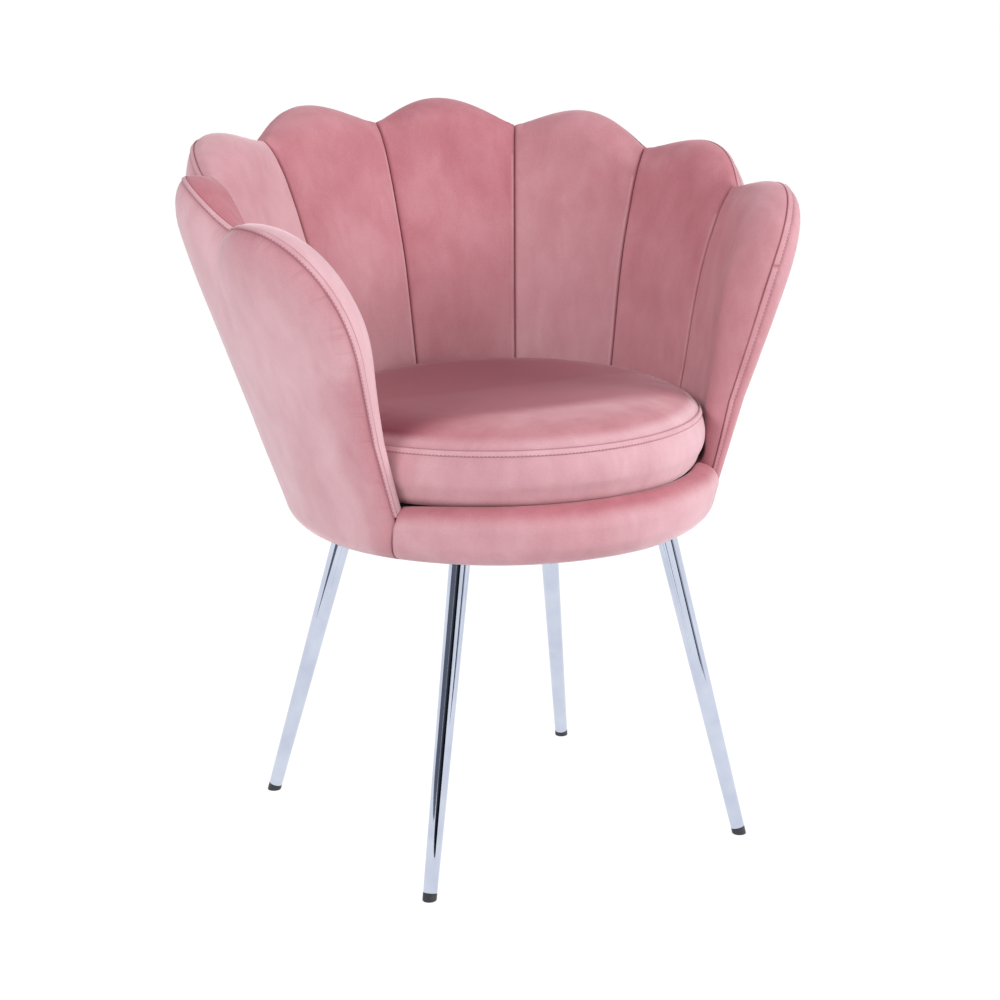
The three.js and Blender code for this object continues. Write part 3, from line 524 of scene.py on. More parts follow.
def inner_depth(place):
    """How far the wall's inner face is from its middle, with its roll over the rim."""
    full = half_thickness(place.angle, place.z)
    fade = 1 - share_between(place.drop, 0, PULL_REACH)
    petal = full * rounding(place.drop) + PEAK_PULL * math.cos(place.rib.turn) * fade
    valley = mix(full, VALLEY_PULL, math.exp(-place.drop / VALLEY_REACH))
    return mix(petal, valley, valley_share(place.rib))


def seam_turn(rib):
    """How far behind the rim its seam lies, as a turn round the rim: more at the back."""
    return mix(BACK_SEAM_TURN, ARM_SEAM_TURN, smooth_between(rib.angle, 0.6 * PETAL_ANGLE, 2.4 * PETAL_ANGLE))


def seam_drop(rib):
    return RIM_ROUNDING * (1 - math.cos(seam_turn(rib)))


def behind_drop(rib, step):
    """The drop behind the rim at a step, 1 at the welt's inner edge and 2 at the seam."""
    half_welt = WELT_WIDTH / 2 / RIM_ROUNDING
    edge = seam_turn(rib) - half_welt
    turn = edge * step if step <= 1 else edge + half_welt * (step - 1)
    return RIM_ROUNDING * (1 - math.cos(turn))


BACK_SEAM_TURN, ARM_SEAM_TURN = math.radians(66), math.radians(25)
WELT_WIDTH = 0.007
print("arm peak at", round(math.degrees(ARM_PEAK), 1), "degrees, height", round(rim_height(ARM_PEAK), 3))

# %% [markdown]
# ## Laying a padded piece
# A padded piece starts as a flat grid of faces. Extruding the grid gives it a back, and then
# each front point moves to the outer surface and each back point to the surface behind it.
# The result is one closed pillow with its seams where the grid's borders meet.

# %% Laying helper


def laid_piece(columns, rows, front, back):
    """A closed body from a grid, with its front and back points laid by two functions.
    Columns and rows are lists of whatever the two functions take. Front also gives the painted
    shade and the painted light of each point, both from 0 to 1. A grid whose ends meet
    becomes a ring."""
    bm = bmesh.new()
    column_of = bm.verts.layers.int.new("column")
    row_of = bm.verts.layers.int.new("row")
    painted_shade = bm.verts.layers.float.new("painted_shade")
    painted_light = bm.verts.layers.float.new("painted_light")
    bmesh.ops.create_grid(bm, x_segments=len(columns) - 1, y_segments=len(rows) - 1, size=0.5)
    for vert in bm.verts:
        vert[column_of] = round((vert.co.x + 0.5) * (len(columns) - 1))
        vert[row_of] = round((vert.co.y + 0.5) * (len(rows) - 1))
        vert.co, vert[painted_shade], vert[painted_light] = front(columns[vert[column_of]], rows[vert[row_of]])
    bmesh.ops.remove_doubles(bm, verts=bm.verts[:], dist=1e-6)
    made = bmesh.ops.extrude_face_region(bm, geom=bm.faces[:])
    for vert in made["geom"]:
        if isinstance(vert, bmesh.types.BMVert):
            vert.co = back(columns[vert[column_of]], rows[vert[row_of]])
            # The hidden back is given full painted shade.
            vert[painted_shade] = 1.0
    bm.verts.layers.int.remove(bm.verts.layers.int["row"])
    bm.verts.layers.int.remove(bm.verts.layers.int["column"])
    return bm


def finished(name, bm, body, slot, material, *nodes, sharp=None):
    """Turns a bmesh into a smooth piece that rides on a body and stands for CAD nodes."""
    bmesh.ops.remove_doubles(bm, verts=bm.verts, dist=1e-6)
    bmesh.ops.recalc_face_normals(bm, faces=bm.faces)
    mesh = bpy.data.meshes.new(name)
    bm.to_mesh(mesh)
    bm.free()
    mesh.polygons.foreach_set("use_smooth", [True] * len(mesh.polygons))
    if sharp:
        mesh.set_sharp_from_angle(angle=math.radians(sharp))
    mesh.materials.append(material)
    piece = bpy.data.objects.new(name, mesh)
    bpy.context.scene.collection.objects.link(piece)
    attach(piece, body)
    if nodes:
        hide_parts(*nodes)
    print(name, len(mesh.polygons), "faces")
    return piece


def eased(count, start=True, end=True):
    """Shares from 0 to 1 that crowd towards the ends, where the cloth turns into a seam."""
    if start and end:
        return [0.5 - 0.5 * math.cos(math.pi * i / count) for i in range(count + 1)]
    return [1 - math.cos(math.pi / 2 * i / count) for i in range(count + 1)]


print("laying helper ready")

# %% [markdown]
# ## The eight petals
# On the real chair each channel is a strip of foam under velvet, sewn to the next one along
# a seam that is pulled down to the shell. The cloth rolls into the seam with a small radius,
# goes over the rim and ends under the flat welt behind it. Fine wrinkles start where a seam
# crosses the rim.

# %% Petals
CHANNEL_CROWN = 0.009
CROWN_POWER = 0.7
SEAM_DEPTH = 0.0034
SEAM_ROLL = 0.0036
# Painted light and shade of each petal, from the left arm to the right arm.
PETAL_PAINTED_LIGHT = (0.3, 0.06, 0.78, 0.14, 0.04, 0.34, 0.18, 0.28)  # left arm to right arm
SHELL_INSET = 0.022
CUSHION_WIDTH, CUSHION_FRONT, CUSHION_BACK = 0.221, 0.217, 0.190
CUSHION_SEAM, CUSHION_CROWN = 0.473, 0.020
CUSHION_EDGE = 0.020
CUSHION_ROOM = 0.0060


def soft_noise(point, size, seed=0.0):
    """Smooth noise from -1 to 1 with a real size in metres."""
    return noise.noise(Vector(point) / size + Vector((seed, seed, seed)))


def clear_of_cushion(point):
    """A point of the wall, pushed out of the cushion's outline where it is beside it."""
    if point.z >= CUSHION_SEAM + CUSHION_CROWN:
        return point
    depth = CUSHION_BACK if point.y > TUB_Y else CUSHION_FRONT
    below = min(max(0.0, CUSHION_BOTTOM + CUSHION_EDGE - point.z), CUSHION_EDGE)
    inset = CUSHION_EDGE - math.sqrt(CUSHION_EDGE**2 - below**2)
    room = CUSHION_ROOM - 0.8 * inset
    inside = math.hypot(point.x / (CUSHION_WIDTH + room), (point.y - TUB_Y) / (depth + room))
    if inside >= 1:
        return point
    return Vector((point.x / inside, TUB_Y + (point.y - TUB_Y) / inside, point.z))


def seam_distance(rib, z, order):
    """The distance along the wall to the nearest seam between petals."""
    if order == 3:
        return (rib.angle - ARM_SEAM) * mid_width(z)
    return min(rib.across, 1 - rib.across) * PETAL_ANGLE * mid_width(z)


def rolled_in(distance):
    """How far the cloth has sunk into a seam at a distance from it, from 0 to 1."""
    if distance >= SEAM_ROLL:
        return 0.0
    return 1 - math.sqrt(max(0.0, 1 - (1 - distance / SEAM_ROLL) ** 2))


def petal_front(order, own_painted_light):
    def lay(rib, row):
        kind, value = row
        if kind == "body":
            place = body_place(rib, value)
        else:
            place = band_place(rib, behind_drop(rib, value) if kind == "behind" else value)
        distance = seam_distance(rib, place.z, order)
        sunk = rolled_in(distance)
        over = rounding(place.drop)
        crown = CHANNEL_CROWN * (4 * rib.across * (1 - rib.across)) ** CROWN_POWER
        crown *= smooth_between(place.z, SEAT_LEVEL, FULL_WALL_LEVEL - SCALLOP_DEPTH) * over
        if kind == "behind":
            level = half_thickness(place.angle, place.z) * outer_rounding(place) - rim_pull(place)
        else:
            level = -inner_depth(place) - crown
        point = wall_point(place.angle, place.z, level)
        # Wrinkles near the seams, strongest by the rim.
        near_rim = math.exp(-place.drop / 0.05)
        near_seam = math.exp(-distance / 0.016)
        pucker = 0.0011 * near_seam * (0.25 + near_rim) * soft_noise((place.drop, distance * 0.2, rib.angle), 0.011)
        swell = 0.0009 * soft_noise(point, 0.07, 3.1)
        sink = SEAM_DEPTH * sunk + (pucker + swell) * (1 - sunk)
        outward = Vector((math.sin(place.angle), math.cos(place.angle), 0))
        along = math.sqrt(max(0.0, 1 - over * over))
        if kind == "behind":
            along, over = math.cos(seam_turn(rib)), -math.sin(seam_turn(rib))
        down = Vector((0, 0, -math.cos(rib.turn)))
        sideways = Vector((math.cos(place.angle), -math.sin(place.angle), 0)) * -math.sin(rib.turn) * rib.side
        point += outward * sink * over + (down + sideways) * sink * along
        point = clear_of_cushion(point)
        # A painted highlight: the left border of each seam is painted paler, as if it caught the light.
        right_side = rib.across < 0.5 if rib.side < 0 else rib.across > 0.5
        lit = 0.45 * math.exp(-(((distance - 0.0032) / 0.0011) ** 2)) if right_side and kind == "body" else 0.0
        # Painted light and shade: an arm's upright edge is painted pale on the left arm and darker on the right one,
        # and each petal is painted darker near the rim and paler lower down.
        upright = smooth_between(rib.angle, ARM_SEAM, ARM_PEAK) * (1 - smooth_between(place.drop, 0.014, 0.036))
        lower = 0.34 * smooth_between(place.drop, 0.02, 0.26) - 0.10
        painted_light = mix(own_painted_light + lower, 1.0 if rib.side < 0 else 0.30, upright) + lit
        # Painted shade in each seam, and behind the rim along the welt's inner edge.
        painted_shade = 0.8 * math.exp(-distance / 0.0013)
        if kind == "behind":
            painted_shade = max(painted_shade, 0.9 * smooth_between(value, 0.82, 1.0))
        return point, painted_shade, painted_light

    return lay


def petal_back(rib, row):
    kind, value = row
    if kind == "body":
        place = body_place(rib, value)
        return clear_of_cushion(wall_point(place.angle, place.z, -SHELL_FACE - GAP))
    share = row_share[row]
    drop = mix(RIM_BAND, seam_drop(rib) + 0.0012, share)
    place = band_place(rib, drop)
    near_seam = half_thickness(place.angle, place.z) * outer_rounding(place) - rim_pull(place) - 0.0006
    slant = smooth_between(drop, seam_drop(rib), SHELL_INSET)
    return wall_point(place.angle, place.z, mix(near_seam, -SHELL_FACE - GAP, slant))


BODY_ROWS = [("body", 1 - i / 80) for i in range(80)]
RIM_TURNS = [math.pi / 2 * (1 - i / 16) for i in range(17)]
RIM_ROWS = [("band", RIM_BAND)] + [("band", RIM_ROUNDING * (1 - math.cos(t))) for t in RIM_TURNS]
BEHIND_ROWS = [("behind", step) for step in (0.15, 0.4, 0.6, 0.75, 0.85, 0.95, 1.0, 1.4, 2.0)]
PETAL_ROWS = BODY_ROWS + RIM_ROWS + BEHIND_ROWS
upper_rows = RIM_ROWS + BEHIND_ROWS
row_share = {row: i / (len(upper_rows) - 1) for i, row in enumerate(upper_rows)}
PLAIN_COLUMNS = eased(46)
ARM_COLUMNS = [PEAK_SHARE * s for s in eased(34, end=False)]
ARM_COLUMNS += [mix(PEAK_SHARE, CORNER_SHARE, (i + 1) / 56) for i in range(56)]
ARM_COLUMNS += [mix(CORNER_SHARE, 1, (i + 1) / 50) for i in range(50)]

for petal in range(1, 9):
    order = petal - 5 if petal > 4 else 4 - petal
    shares = ARM_COLUMNS if order == 3 else PLAIN_COLUMNS
    ribs = [petal_rib(petal, share) for share in shares]
    bm = laid_piece(ribs, PETAL_ROWS, petal_front(order, PETAL_PAINTED_LIGHT[petal - 1]), petal_back)
    made = finished(f"petal_{petal}", bm, "chair_frame", "velvet", rose_velvet, f"channel_pad_{petal}")

# %% [markdown]
# ## The outer cover
# One smooth velvet cover goes round the outside, from the seam behind the rim to the
# underside. It is drawn in below each valley, and gathers finely along the welt.

# %% Outer cover
BOARD_RADIUS = 0.205
LIP_RADIUS = 0.193
COVER_THICKNESS = 0.0012
GATHER_SIZE = 0.0090
GATHER_DEPTH = 0.0020
EDGE_SAG = 0.0025


def cover_start(rib):
    """Where the cover starts on a rib: under the welt, or at the rail's end below it."""
    return mix(0.0004, seam_drop(rib) + 0.001, smooth_between(rib.z, PAD_BOTTOM - 0.006, PAD_BOTTOM))


def cover_place(rib, row):
    kind, value = row
    if kind == "cover":
        place = band_place(rib, mix(cover_start(rib), RIM_BAND, value))
    else:
        place = body_place(rib, value, UNDERSIDE)
    return leaned(place._replace(z=max(place.z, UNDERSIDE)))


def cover_level(place):
    return outer_offset(place.angle, place.z) * outer_rounding(place) - rim_pull(place)


def edge_sag(point):
    """How far the padding hangs below the board round its edge."""
    low = 1 - share_between(point.z, UNDERSIDE, UNDERSIDE + 0.035)
    out = smooth_between((point.xy - Vector((0, TUB_Y))).length, LIP_RADIUS + 0.008, LIP_RADIUS + 0.014)
    return EDGE_SAG * low * out


def cover_front(rib, row):
    place = cover_place(rib, row)
    point = wall_point(place.angle, place.z, cover_level(place))
    outward = Vector((math.sin(place.angle), math.cos(place.angle), 0))
    past_welt = place.drop - behind_drop(rib, 3.0)
    gather = smooth_between(past_welt, -0.001, 0.001) * math.exp(-max(0.0, past_welt) / 0.007)
    gather *= smooth_between(rib.z, PAD_BOTTOM - 0.01, PAD_BOTTOM + 0.01)
    on_rim = wall_point(rib.angle * rib.side, rib.z, 0)
    ridge = abs(soft_noise(on_rim, GATHER_SIZE, 2.0))
    fold = GATHER_DEPTH * gather * (min(ridge, 0.35) - 0.2)
    swell = 0.0012 * soft_noise(point, 0.09, 7.7) * (1 - gather)
    point += outward * (fold + swell)
    # Painted light and shade on the outer cover: darker near the rim and low down, paler on the back petals and the
    # arms' inner sides, darker towards the arms' fronts.
    painted_light = 1.1 - 0.72 * math.exp(-place.drop / 0.055) - 0.45 * smooth_between(place.drop, 0.10, 0.32)
    if rib.angle < ARM_SEAM:
        painted_light += 0.3
    else:
        painted_light += 0.3 * (1 - share_between(rib.across, 0, PEAK_SHARE)) - 0.25 * smooth_between(rib.across, 0.6, 0.85)
    point.z -= edge_sag(point)
    # Painted shade in the creases of the gathers, and along the cover's edge under the welt.
    crease = (0.4 if rib.side < 0 else 0.15) * gather * max(0.0, 1 - ridge / 0.1)
    edge = 0.5 * math.exp(-max(0.0, place.drop - cover_start(rib)) / 0.002)
    return point, max(crease, edge), painted_light


def cover_back(rib, row):
    place = cover_place(rib, row)
    return wall_point(place.angle, place.z, cover_level(place) - COVER_THICKNESS)


COVER_ROWS = [("cover", i / 14) for i in range(14)]
COVER_ROWS += [("body", math.sin(math.pi / 2 * i / 50)) for i in range(51)]
COVER_SHARES = eased(60)
COVER_ARM_SHARES = [PEAK_SHARE * i / 40 for i in range(41)]
COVER_ARM_SHARES += [mix(PEAK_SHARE, CORNER_SHARE, (i + 1) / 120) for i in range(120)]
COVER_ARM_SHARES += [mix(CORNER_SHARE, 1, (i + 1) / 120) for i in range(120)]


def ribs_all_round(bottom):
    """Ribs from the left arm's foot over every petal to the right arm's foot."""
    ribs = []
    for petal in range(1, 9):
        shares = COVER_ARM_SHARES if petal in (1, 8) else COVER_SHARES
        if petal <= 4:
            shares = [s for s in reversed(shares)]
        made = [petal_rib(petal, share, bottom) for share in shares]
        ribs += made if not ribs else made[1:]
    return ribs


bm = laid_piece(ribs_all_round(UNDERSIDE), COVER_ROWS, cover_front, cover_back)
cover = finished("outer_cover_velvet", bm, "chair_frame", "velvet", rose_velvet, "outer_cover")

# %% [markdown]
# ## The welt behind the rim
# The petals and the outer cover meet under one flat strip of the same velvet, sewn down
# along both edges. The inner edge shows as a plain seam, and the outer one has a row of
# stitches. The strip is laid along the ribs, and each stitch is a small bead of thread.

# %% Welt and its stitches
WELT_LIFT = 0.0011
STITCH_PITCH = 0.0042
STITCH_HALF = (0.0015, 0.00045, 0.0004)
JOINT_HEIGHT = 0.628  # of the cross seam in the welt on the right arm


def rim_lift(place, lift):
    """A step away from the rim's rounded face, square to it."""
    turn = math.acos(1 - min(place.drop / RIM_ROUNDING, 1))
    outward, along = lift * math.sin(turn), lift * math.cos(turn)
    sideways = along * math.sin(place.rib.turn) * place.rib.side
    return Vector(
        (
            outward * math.sin(place.angle) + sideways * math.cos(place.angle),
            outward * math.cos(place.angle) - sideways * math.sin(place.angle),
            along * math.cos(place.rib.turn),
        )
    )


def welt_point(rib, share, lift):
    """A point over the seam behind the rim, at a share across the welt."""
    turn = seam_turn(rib) + (share - 0.5) * WELT_WIDTH / RIM_ROUNDING
    place = band_place(rib, RIM_ROUNDING * (1 - math.cos(turn)))
    on_pad = half_thickness(place.angle, place.z) * outer_rounding(place) - rim_pull(place)
    level = mix(on_pad, cover_level(place), smooth_between(share, 0.3, 0.7))
    return wall_point(place.angle, place.z, level) + rim_lift(place, lift)


def welt_front(rib, share):
    dome = 1 - abs(2 * share - 1) ** 5
    # Painted shade along both edges of the welt and at its cross seam; the welt is painted paler on the left arm than
    # on the right.
    edge = max(0.0, abs(2 * share - 1) - 0.6) / 0.4
    joint = math.exp(-(((rib.z - JOINT_HEIGHT) / 0.0012) ** 2)) if rib.side * rib.turn > 0 else 0.0
    lift = GAP + WELT_LIFT * dome * (1 - 0.7 * joint)
    return welt_point(rib, share, lift), max(0.8 * edge, 0.7 * joint), 0.75 if rib.side < 0 else 0.45


def welt_back(rib, share):
    return welt_point(rib, share, GAP / 2)


def stitch_row(name, points, upward, body, material, *nodes):
    """Beads of thread along a line of points, each lying flat on the cloth."""
    bm = bmesh.new()
    travelled, after = 0.0, STITCH_PITCH / 2
    for i in range(len(points) - 1):
        step = points[i + 1] - points[i]
        while step.length > 0 and after <= travelled + step.length:
            share = (after - travelled) / step.length
            along = step.normalized()
            up = upward[i]
            across = up.cross(along).normalized()
            up = along.cross(across)
            turn = Matrix((along, across, up)).transposed().to_4x4()
            place = Matrix.Translation(points[i].lerp(points[i + 1], share))
            size = Matrix.Diagonal((*STITCH_HALF, 1))
            bmesh.ops.create_icosphere(bm, subdivisions=1, radius=1, matrix=place @ turn @ size)
            after += STITCH_PITCH
        travelled += step.length
    return finished(name, bm, body, "velvet", material, *nodes)


welt_ribs = ribs_all_round(PAD_BOTTOM)
welt_shares = [i / 10 for i in range(11)]
bm = laid_piece(welt_ribs, welt_shares, welt_front, welt_back)
welt = finished("rim_welt_velvet", bm, "chair_frame", "velvet", rose_velvet, "rim_welt")
STITCH_SHARE = 0.80
on_welt = [welt_front(rib, STITCH_SHARE)[0] for rib in welt_ribs]
above = [welt_point(rib, STITCH_SHARE, 0.003) - welt_point(rib, STITCH_SHARE, 0.0) for rib in welt_ribs]
stitch_row("rim_stitches", on_welt, above, "chair_frame", thread)

# %% [markdown]
# ## The front rail
# Between the arms the seat's front edge is padded: a face that follows the tub, a rounded
# top edge and a top that slopes down under the cushion. At each end it is sewn to the outer
# cover, with small puckers at the upper corner.

# %% Front rail
RAIL_TOP = 0.413
RAIL_RADIUS = 0.019
RAIL_CORNER = RAIL_TOP - RAIL_RADIUS * (1 + math.sin(WALL_LEAN))
RAIL_TUCK = 0.0025
RAIL_CREST = outer_width(RAIL_CORNER) - RAIL_RADIUS * math.cos(WALL_LEAN)
RAIL_END_FALL = 0.004  # of its top beside the left arm


def rail_angle(share, z):
    """The bearing at a share along the rail, whose ends follow the arms' seams."""
    edge = ARM_EDGE - seam_lean(z) + 0.0003 / UNROLL_RADIUS
    return mix(edge, 2 * math.pi - edge, share)


def rail_face(along, row):
    """The rail from its underside up its face, over the edge and down towards the cushion."""
    kind, share = row
    turn = mix(-WALL_LEAN, math.pi / 2, share)
    z = {"lip": UNDERSIDE, "face": mix(UNDERSIDE, RAIL_CORNER, share)}.get(kind, RAIL_TOP)
    if kind == "edge":
        z = RAIL_TOP - RAIL_RADIUS * (1 - math.sin(turn))
    angle = rail_angle(along, z)
    if kind == "lip":
        offset = mix(LIP_RADIUS, outer_width(UNDERSIDE) + 0.001, share) - mid_width(UNDERSIDE)
    elif kind == "face":
        offset = outer_offset(angle, z)
    elif kind == "edge":
        swell = outer_offset(angle, RAIL_CORNER) + mid_width(RAIL_CORNER) - outer_width(RAIL_CORNER)
        offset = RAIL_CREST + RAIL_RADIUS * math.cos(turn) + swell * (1 - share) - mid_width(z)
    else:
        offset = RAIL_CREST - mid_width(z)
    point = wall_point(angle, z, offset)
    if kind == "top":
        inner = wall_point(angle, PAD_BOTTOM, -half_thickness(angle, PAD_BOTTOM))
        inner.z = RAIL_TOP - 0.0056
        point = point.lerp(inner, share)
    from_end = min(along, 1 - along) * (2 * math.pi - 2 * ARM_EDGE) * outer_width(RAIL_CORNER)
    sunk = 0.0 if from_end >= RAIL_TUCK else 1 - math.sqrt(1 - (1 - from_end / RAIL_TUCK) ** 2)
    level = {"lip": 0.0, "face": 0.0, "edge": max(0.0, math.sin(turn)), "top": 1.0}[kind]
    normal = Vector((math.sin(angle), math.cos(angle), 0)) * (1 - level) + Vector((0, 0, level))
    corner = math.exp(-from_end / 0.018) * smooth_between(point.z, 0.380, 0.402)
    pucker = 0.0016 * corner * soft_noise((angle * 26, point.z * 40, 2.0), 1.0)
    swell = 0.0010 * soft_noise(point, 0.08, 5.5)
    settle = 1.0 if kind in ("face", "edge") else 0.0
    point += normal * ((swell + pucker) * settle * (1 - sunk) - 0.0012 * sunk)
    if kind == "top":
        point.z += 0.0014 * smooth_between(point.x, 0.0, 0.12) * math.sin(math.pi * share)
    at_left = math.exp(-from_end / 0.03) if point.x < 0 else 0.0
    point.z -= RAIL_END_FALL * at_left * smooth_between(point.z, RAIL_CORNER, RAIL_TOP - 0.006)
    point.z -= edge_sag(point)
    # Painted light and shade: the face is painted paler towards the right, the rounded edge darker towards the top and
    # the top dark, with painted shade where the ends are sewn in.
    pale = mix(0.55, 1.0, smooth_between(point.x, -0.10, 0.24))
    painted_light = {"lip": pale, "face": pale, "edge": mix(pale, 0.0, smooth_between(share, 0.2, 0.7)), "top": 0.0}[kind]
    return point, 0.6 * math.exp(-from_end / 0.0012), painted_light


def rail_back(along, row):
    share = rail_rows.index(row) / (len(rail_rows) - 1)
    z = mix(UNDERSIDE + 0.001, RAIL_TOP - 0.0075, share)
    angle = rail_angle(along, z)
    if z <= BOARD_TOP:
        rise = share_between(z, UNDERSIDE, UNDERSIDE + 0.004)
        return wall_point(angle, z, mix(LIP_RADIUS + 0.001, BOARD_RADIUS + 0.004, rise) - mid_width(z))
    rise = share_between(z, PAD_BOTTOM - 0.005, PAD_BOTTOM)
    return wall_point(angle, z, mix(-SHELL_FACE, -half_thickness(angle, z), rise) + 0.0005)


rail_rows = [("lip", i / 3) for i in range(3)]
rail_rows += [("face", math.sin(math.pi / 2 * i / 20)) for i in range(20)]
rail_rows += [("edge", i / 12) for i in range(12)] + [("top", i / 5) for i in range(6)]
bm = laid_piece(eased(120), rail_rows, rail_face, rail_back)
rail = finished("front_rail_velvet", bm, "chair_frame", "velvet", rose_velvet, "front_rail_pad")

# %% [markdown]
# ## The cushion
# The cushion is a round foam block in a boxed velvet cover: a crowned top, a side band and a
# rounded lower edge. A profile is spun into a round solid, drawn to the tub's plan, and then
# blown up a little as cloth under pressure, so that its top swells and eases like real foam.

# %% Cushion
CUSHION_SWELL = 0.0062
CUSHION_BACK_LIFT = 0.008
CROWN_SHARPNESS = 12
SIDE_MIDDLE = (CUSHION_BOTTOM + CUSHION_EDGE + CUSHION_SEAM) / 2
VOXEL = 0.005
PRESSURE = 4.0
SIM_FRAMES = 20
TOP_TRAVEL = 0.002
SIDE_TRAVEL = 0.0004


def cushion_profile():
    """Radius and height of the cushion's outside, from the middle of its underside up."""
    line = [(CUSHION_WIDTH * share, CUSHION_BOTTOM) for share in (0.0, 0.3, 0.6, 0.8)]
    for i in range(9):
        turn = math.pi / 2 * i / 8
        out = CUSHION_WIDTH - CUSHION_EDGE * (1 - math.sin(turn))
        line.append((out, CUSHION_BOTTOM + CUSHION_EDGE * (1 - math.cos(turn))))
    low = CUSHION_BOTTOM + CUSHION_EDGE
    for i in range(1, 9):
        z = mix(low, CUSHION_SEAM, i / 8)
        bulge = CUSHION_SWELL * math.sin(math.pi * share_between(z, low - 0.01, CUSHION_SEAM))
        line.append((CUSHION_WIDTH - 0.001 * smooth_between(z, SIDE_MIDDLE, CUSHION_SEAM) + bulge, z))
    for scale in (0.99, 0.975, 0.955, 0.93, 0.9, 0.86, 0.8, 0.7, 0.58, 0.44, 0.28, 0.12, 0.0):
        rise = CUSHION_CROWN * (1 - scale**CROWN_SHARPNESS)
        line.append(((CUSHION_WIDTH - 0.001) * scale, CUSHION_SEAM + rise))
    return line


def to_plan(vert):
    """Draws a round cushion's point to the plan of the seat, and lifts its back."""
    depth = CUSHION_BACK if vert.co.y > 0 else CUSHION_FRONT
    if vert.co.z > SIDE_MIDDLE and vert.co.y > 0:
        vert.co.z += CUSHION_BACK_LIFT * vert.co.y / CUSHION_WIDTH
    vert.co.y = TUB_Y + vert.co.y * depth / CUSHION_WIDTH


def travel_allowed(start):
    """How far pressure may move a point: freely on the top, hardly on the side band."""
    depth = CUSHION_BACK if start.y > TUB_Y else CUSHION_FRONT
    out = math.hypot(start.x / CUSHION_WIDTH, (start.y - TUB_Y) / depth)
    top = smooth_between(start.z, CUSHION_SEAM + 0.004, CUSHION_SEAM + 0.016)
    if start.z < CUSHION_BOTTOM + 0.004:
        return 0.0
    return mix(SIDE_TRAVEL, TOP_TRAVEL, top * smooth_between(1 - out, 0.02, 0.3))


def blown_up(piece):
    """Remeshes a piece evenly, blows it up as cloth and keeps the result, capped."""
    scene = bpy.context.scene
    remesh = piece.modifiers.new("even_faces", "REMESH")
    remesh.mode, remesh.voxel_size = "VOXEL", VOXEL
    graph = bpy.context.evaluated_depsgraph_get()
    even = bpy.data.meshes.new_from_object(piece.evaluated_get(graph))
    piece.modifiers.clear()
    piece.data = even
    starts = [v.co.copy() for v in even.vertices]
    cloth = piece.modifiers.new("pressure", "CLOTH")
    cloth.settings.use_pressure = True
    cloth.settings.uniform_pressure_force = PRESSURE
    cloth.settings.effector_weights.gravity = 0
    cloth.point_cache.frame_start, cloth.point_cache.frame_end = 1, SIM_FRAMES
    for frame_number in range(1, SIM_FRAMES + 1):
        scene.frame_set(frame_number)
    graph = bpy.context.evaluated_depsgraph_get()
    blown = [v.co.copy() for v in piece.evaluated_get(graph).data.vertices]
    piece.modifiers.clear()
    for vert, start, end in zip(even.vertices, starts, blown):
        step = end - start
        allowed = travel_allowed(start)
        if step.length > allowed:
            step *= allowed / step.length
        vert.co = start + step
    scene.frame_set(1)
    print("blown up", piece.name, "over", len(starts), "points")


bm = bmesh.new()
line = [bm.verts.new((radius, 0, z)) for radius, z in cushion_profile()]
edges = [bm.edges.new(pair) for pair in zip(line, line[1:])]
bmesh.ops.spin(
    bm,
    geom=line + edges,
    cent=(0, 0, 0),
    axis=(0, 0, 1),
    angle=2 * math.pi,
    steps=120,
    use_merge=True,
)
bmesh.ops.remove_doubles(bm, verts=bm.verts[:], dist=1e-5)
for vert in bm.verts:
    to_plan(vert)
nodes = ("cushion_cover", "cushion_foam")
cushion = finished("cushion_velvet", bm, "cushion", "velvet", rose_velvet, *nodes)
blown_up(cushion)
cushion.data.polygons.foreach_set("use_smooth", [True] * len(cushion.data.polygons))
smooth = cushion.modifiers.new("smooth", "SUBSURF")
smooth.levels = smooth.render_levels = 1
if not cushion.data.materials:
    cushion.data.materials.append(rose_velvet)


def cushion_shade(place):
    """Painted shade and painted light of the cushion's cloth: a painted shadow darkens the back
    left of the top, less so along the front and right, and the side band is painted pale,
    paler towards the right."""
    below = 1 - smooth_between(place.z, CUSHION_SEAM + 0.004, CUSHION_SEAM + 0.012)
    painted_shadow = smooth_between(place.y, PAINTED_SHADOW_FROM - 0.02, PAINTED_SHADOW_FROM + 0.03)
    painted_shadow *= mix(1.0, 0.62, smooth_between(place.x, 0.0, 0.20)) * (1 - below)
    pale = mix(0.62, 1.0, smooth_between(place.x, -0.12, 0.16))
    return 1.0 * painted_shadow, mix(0.22 * (1 - painted_shadow), pale, below)


# Where the painted shadow on the cushion's top starts, going back from the front.
PAINTED_SHADOW_FROM = -0.175
shades = [cushion_shade(vert.co) for vert in cushion.data.vertices]
for name, values in zip(("painted_shade", "painted_light"), zip(*shades)):
    layer = cushion.data.attributes.get(name) or cushion.data.attributes.new(name, "FLOAT", "POINT")
    layer.data.foreach_set("value", values)

# %% Cushion welt and stitches


def cushion_side(angle, z, out):
    """A point on the cushion's side band, at a bearing round it and a step outwards."""
    depth = CUSHION_BACK if math.cos(angle) > 0 else CUSHION_FRONT
    bulge = mix(CUSHION_SWELL, -0.001, share_between(z, SIDE_MIDDLE, CUSHION_SEAM)) + out
    lift = CUSHION_BACK_LIFT * max(0.0, math.cos(angle))
    x = (CUSHION_WIDTH + bulge) * math.sin(angle)
    return Vector((x, TUB_Y + (depth + bulge) * math.cos(angle), z + lift))


def cushion_welt_front(angle, share):
    dome = 1 - abs(2 * share - 1) ** 5
    # Painted shade along both edges of the cushion's welt, which is painted pale.
    edge = max(0.0, abs(2 * share - 1) - 0.6) / 0.4
    z = CUSHION_SEAM - WELT_WIDTH * share
    return cushion_side(angle, z, GAP + WELT_LIFT * dome), 0.75 * edge, 0.8


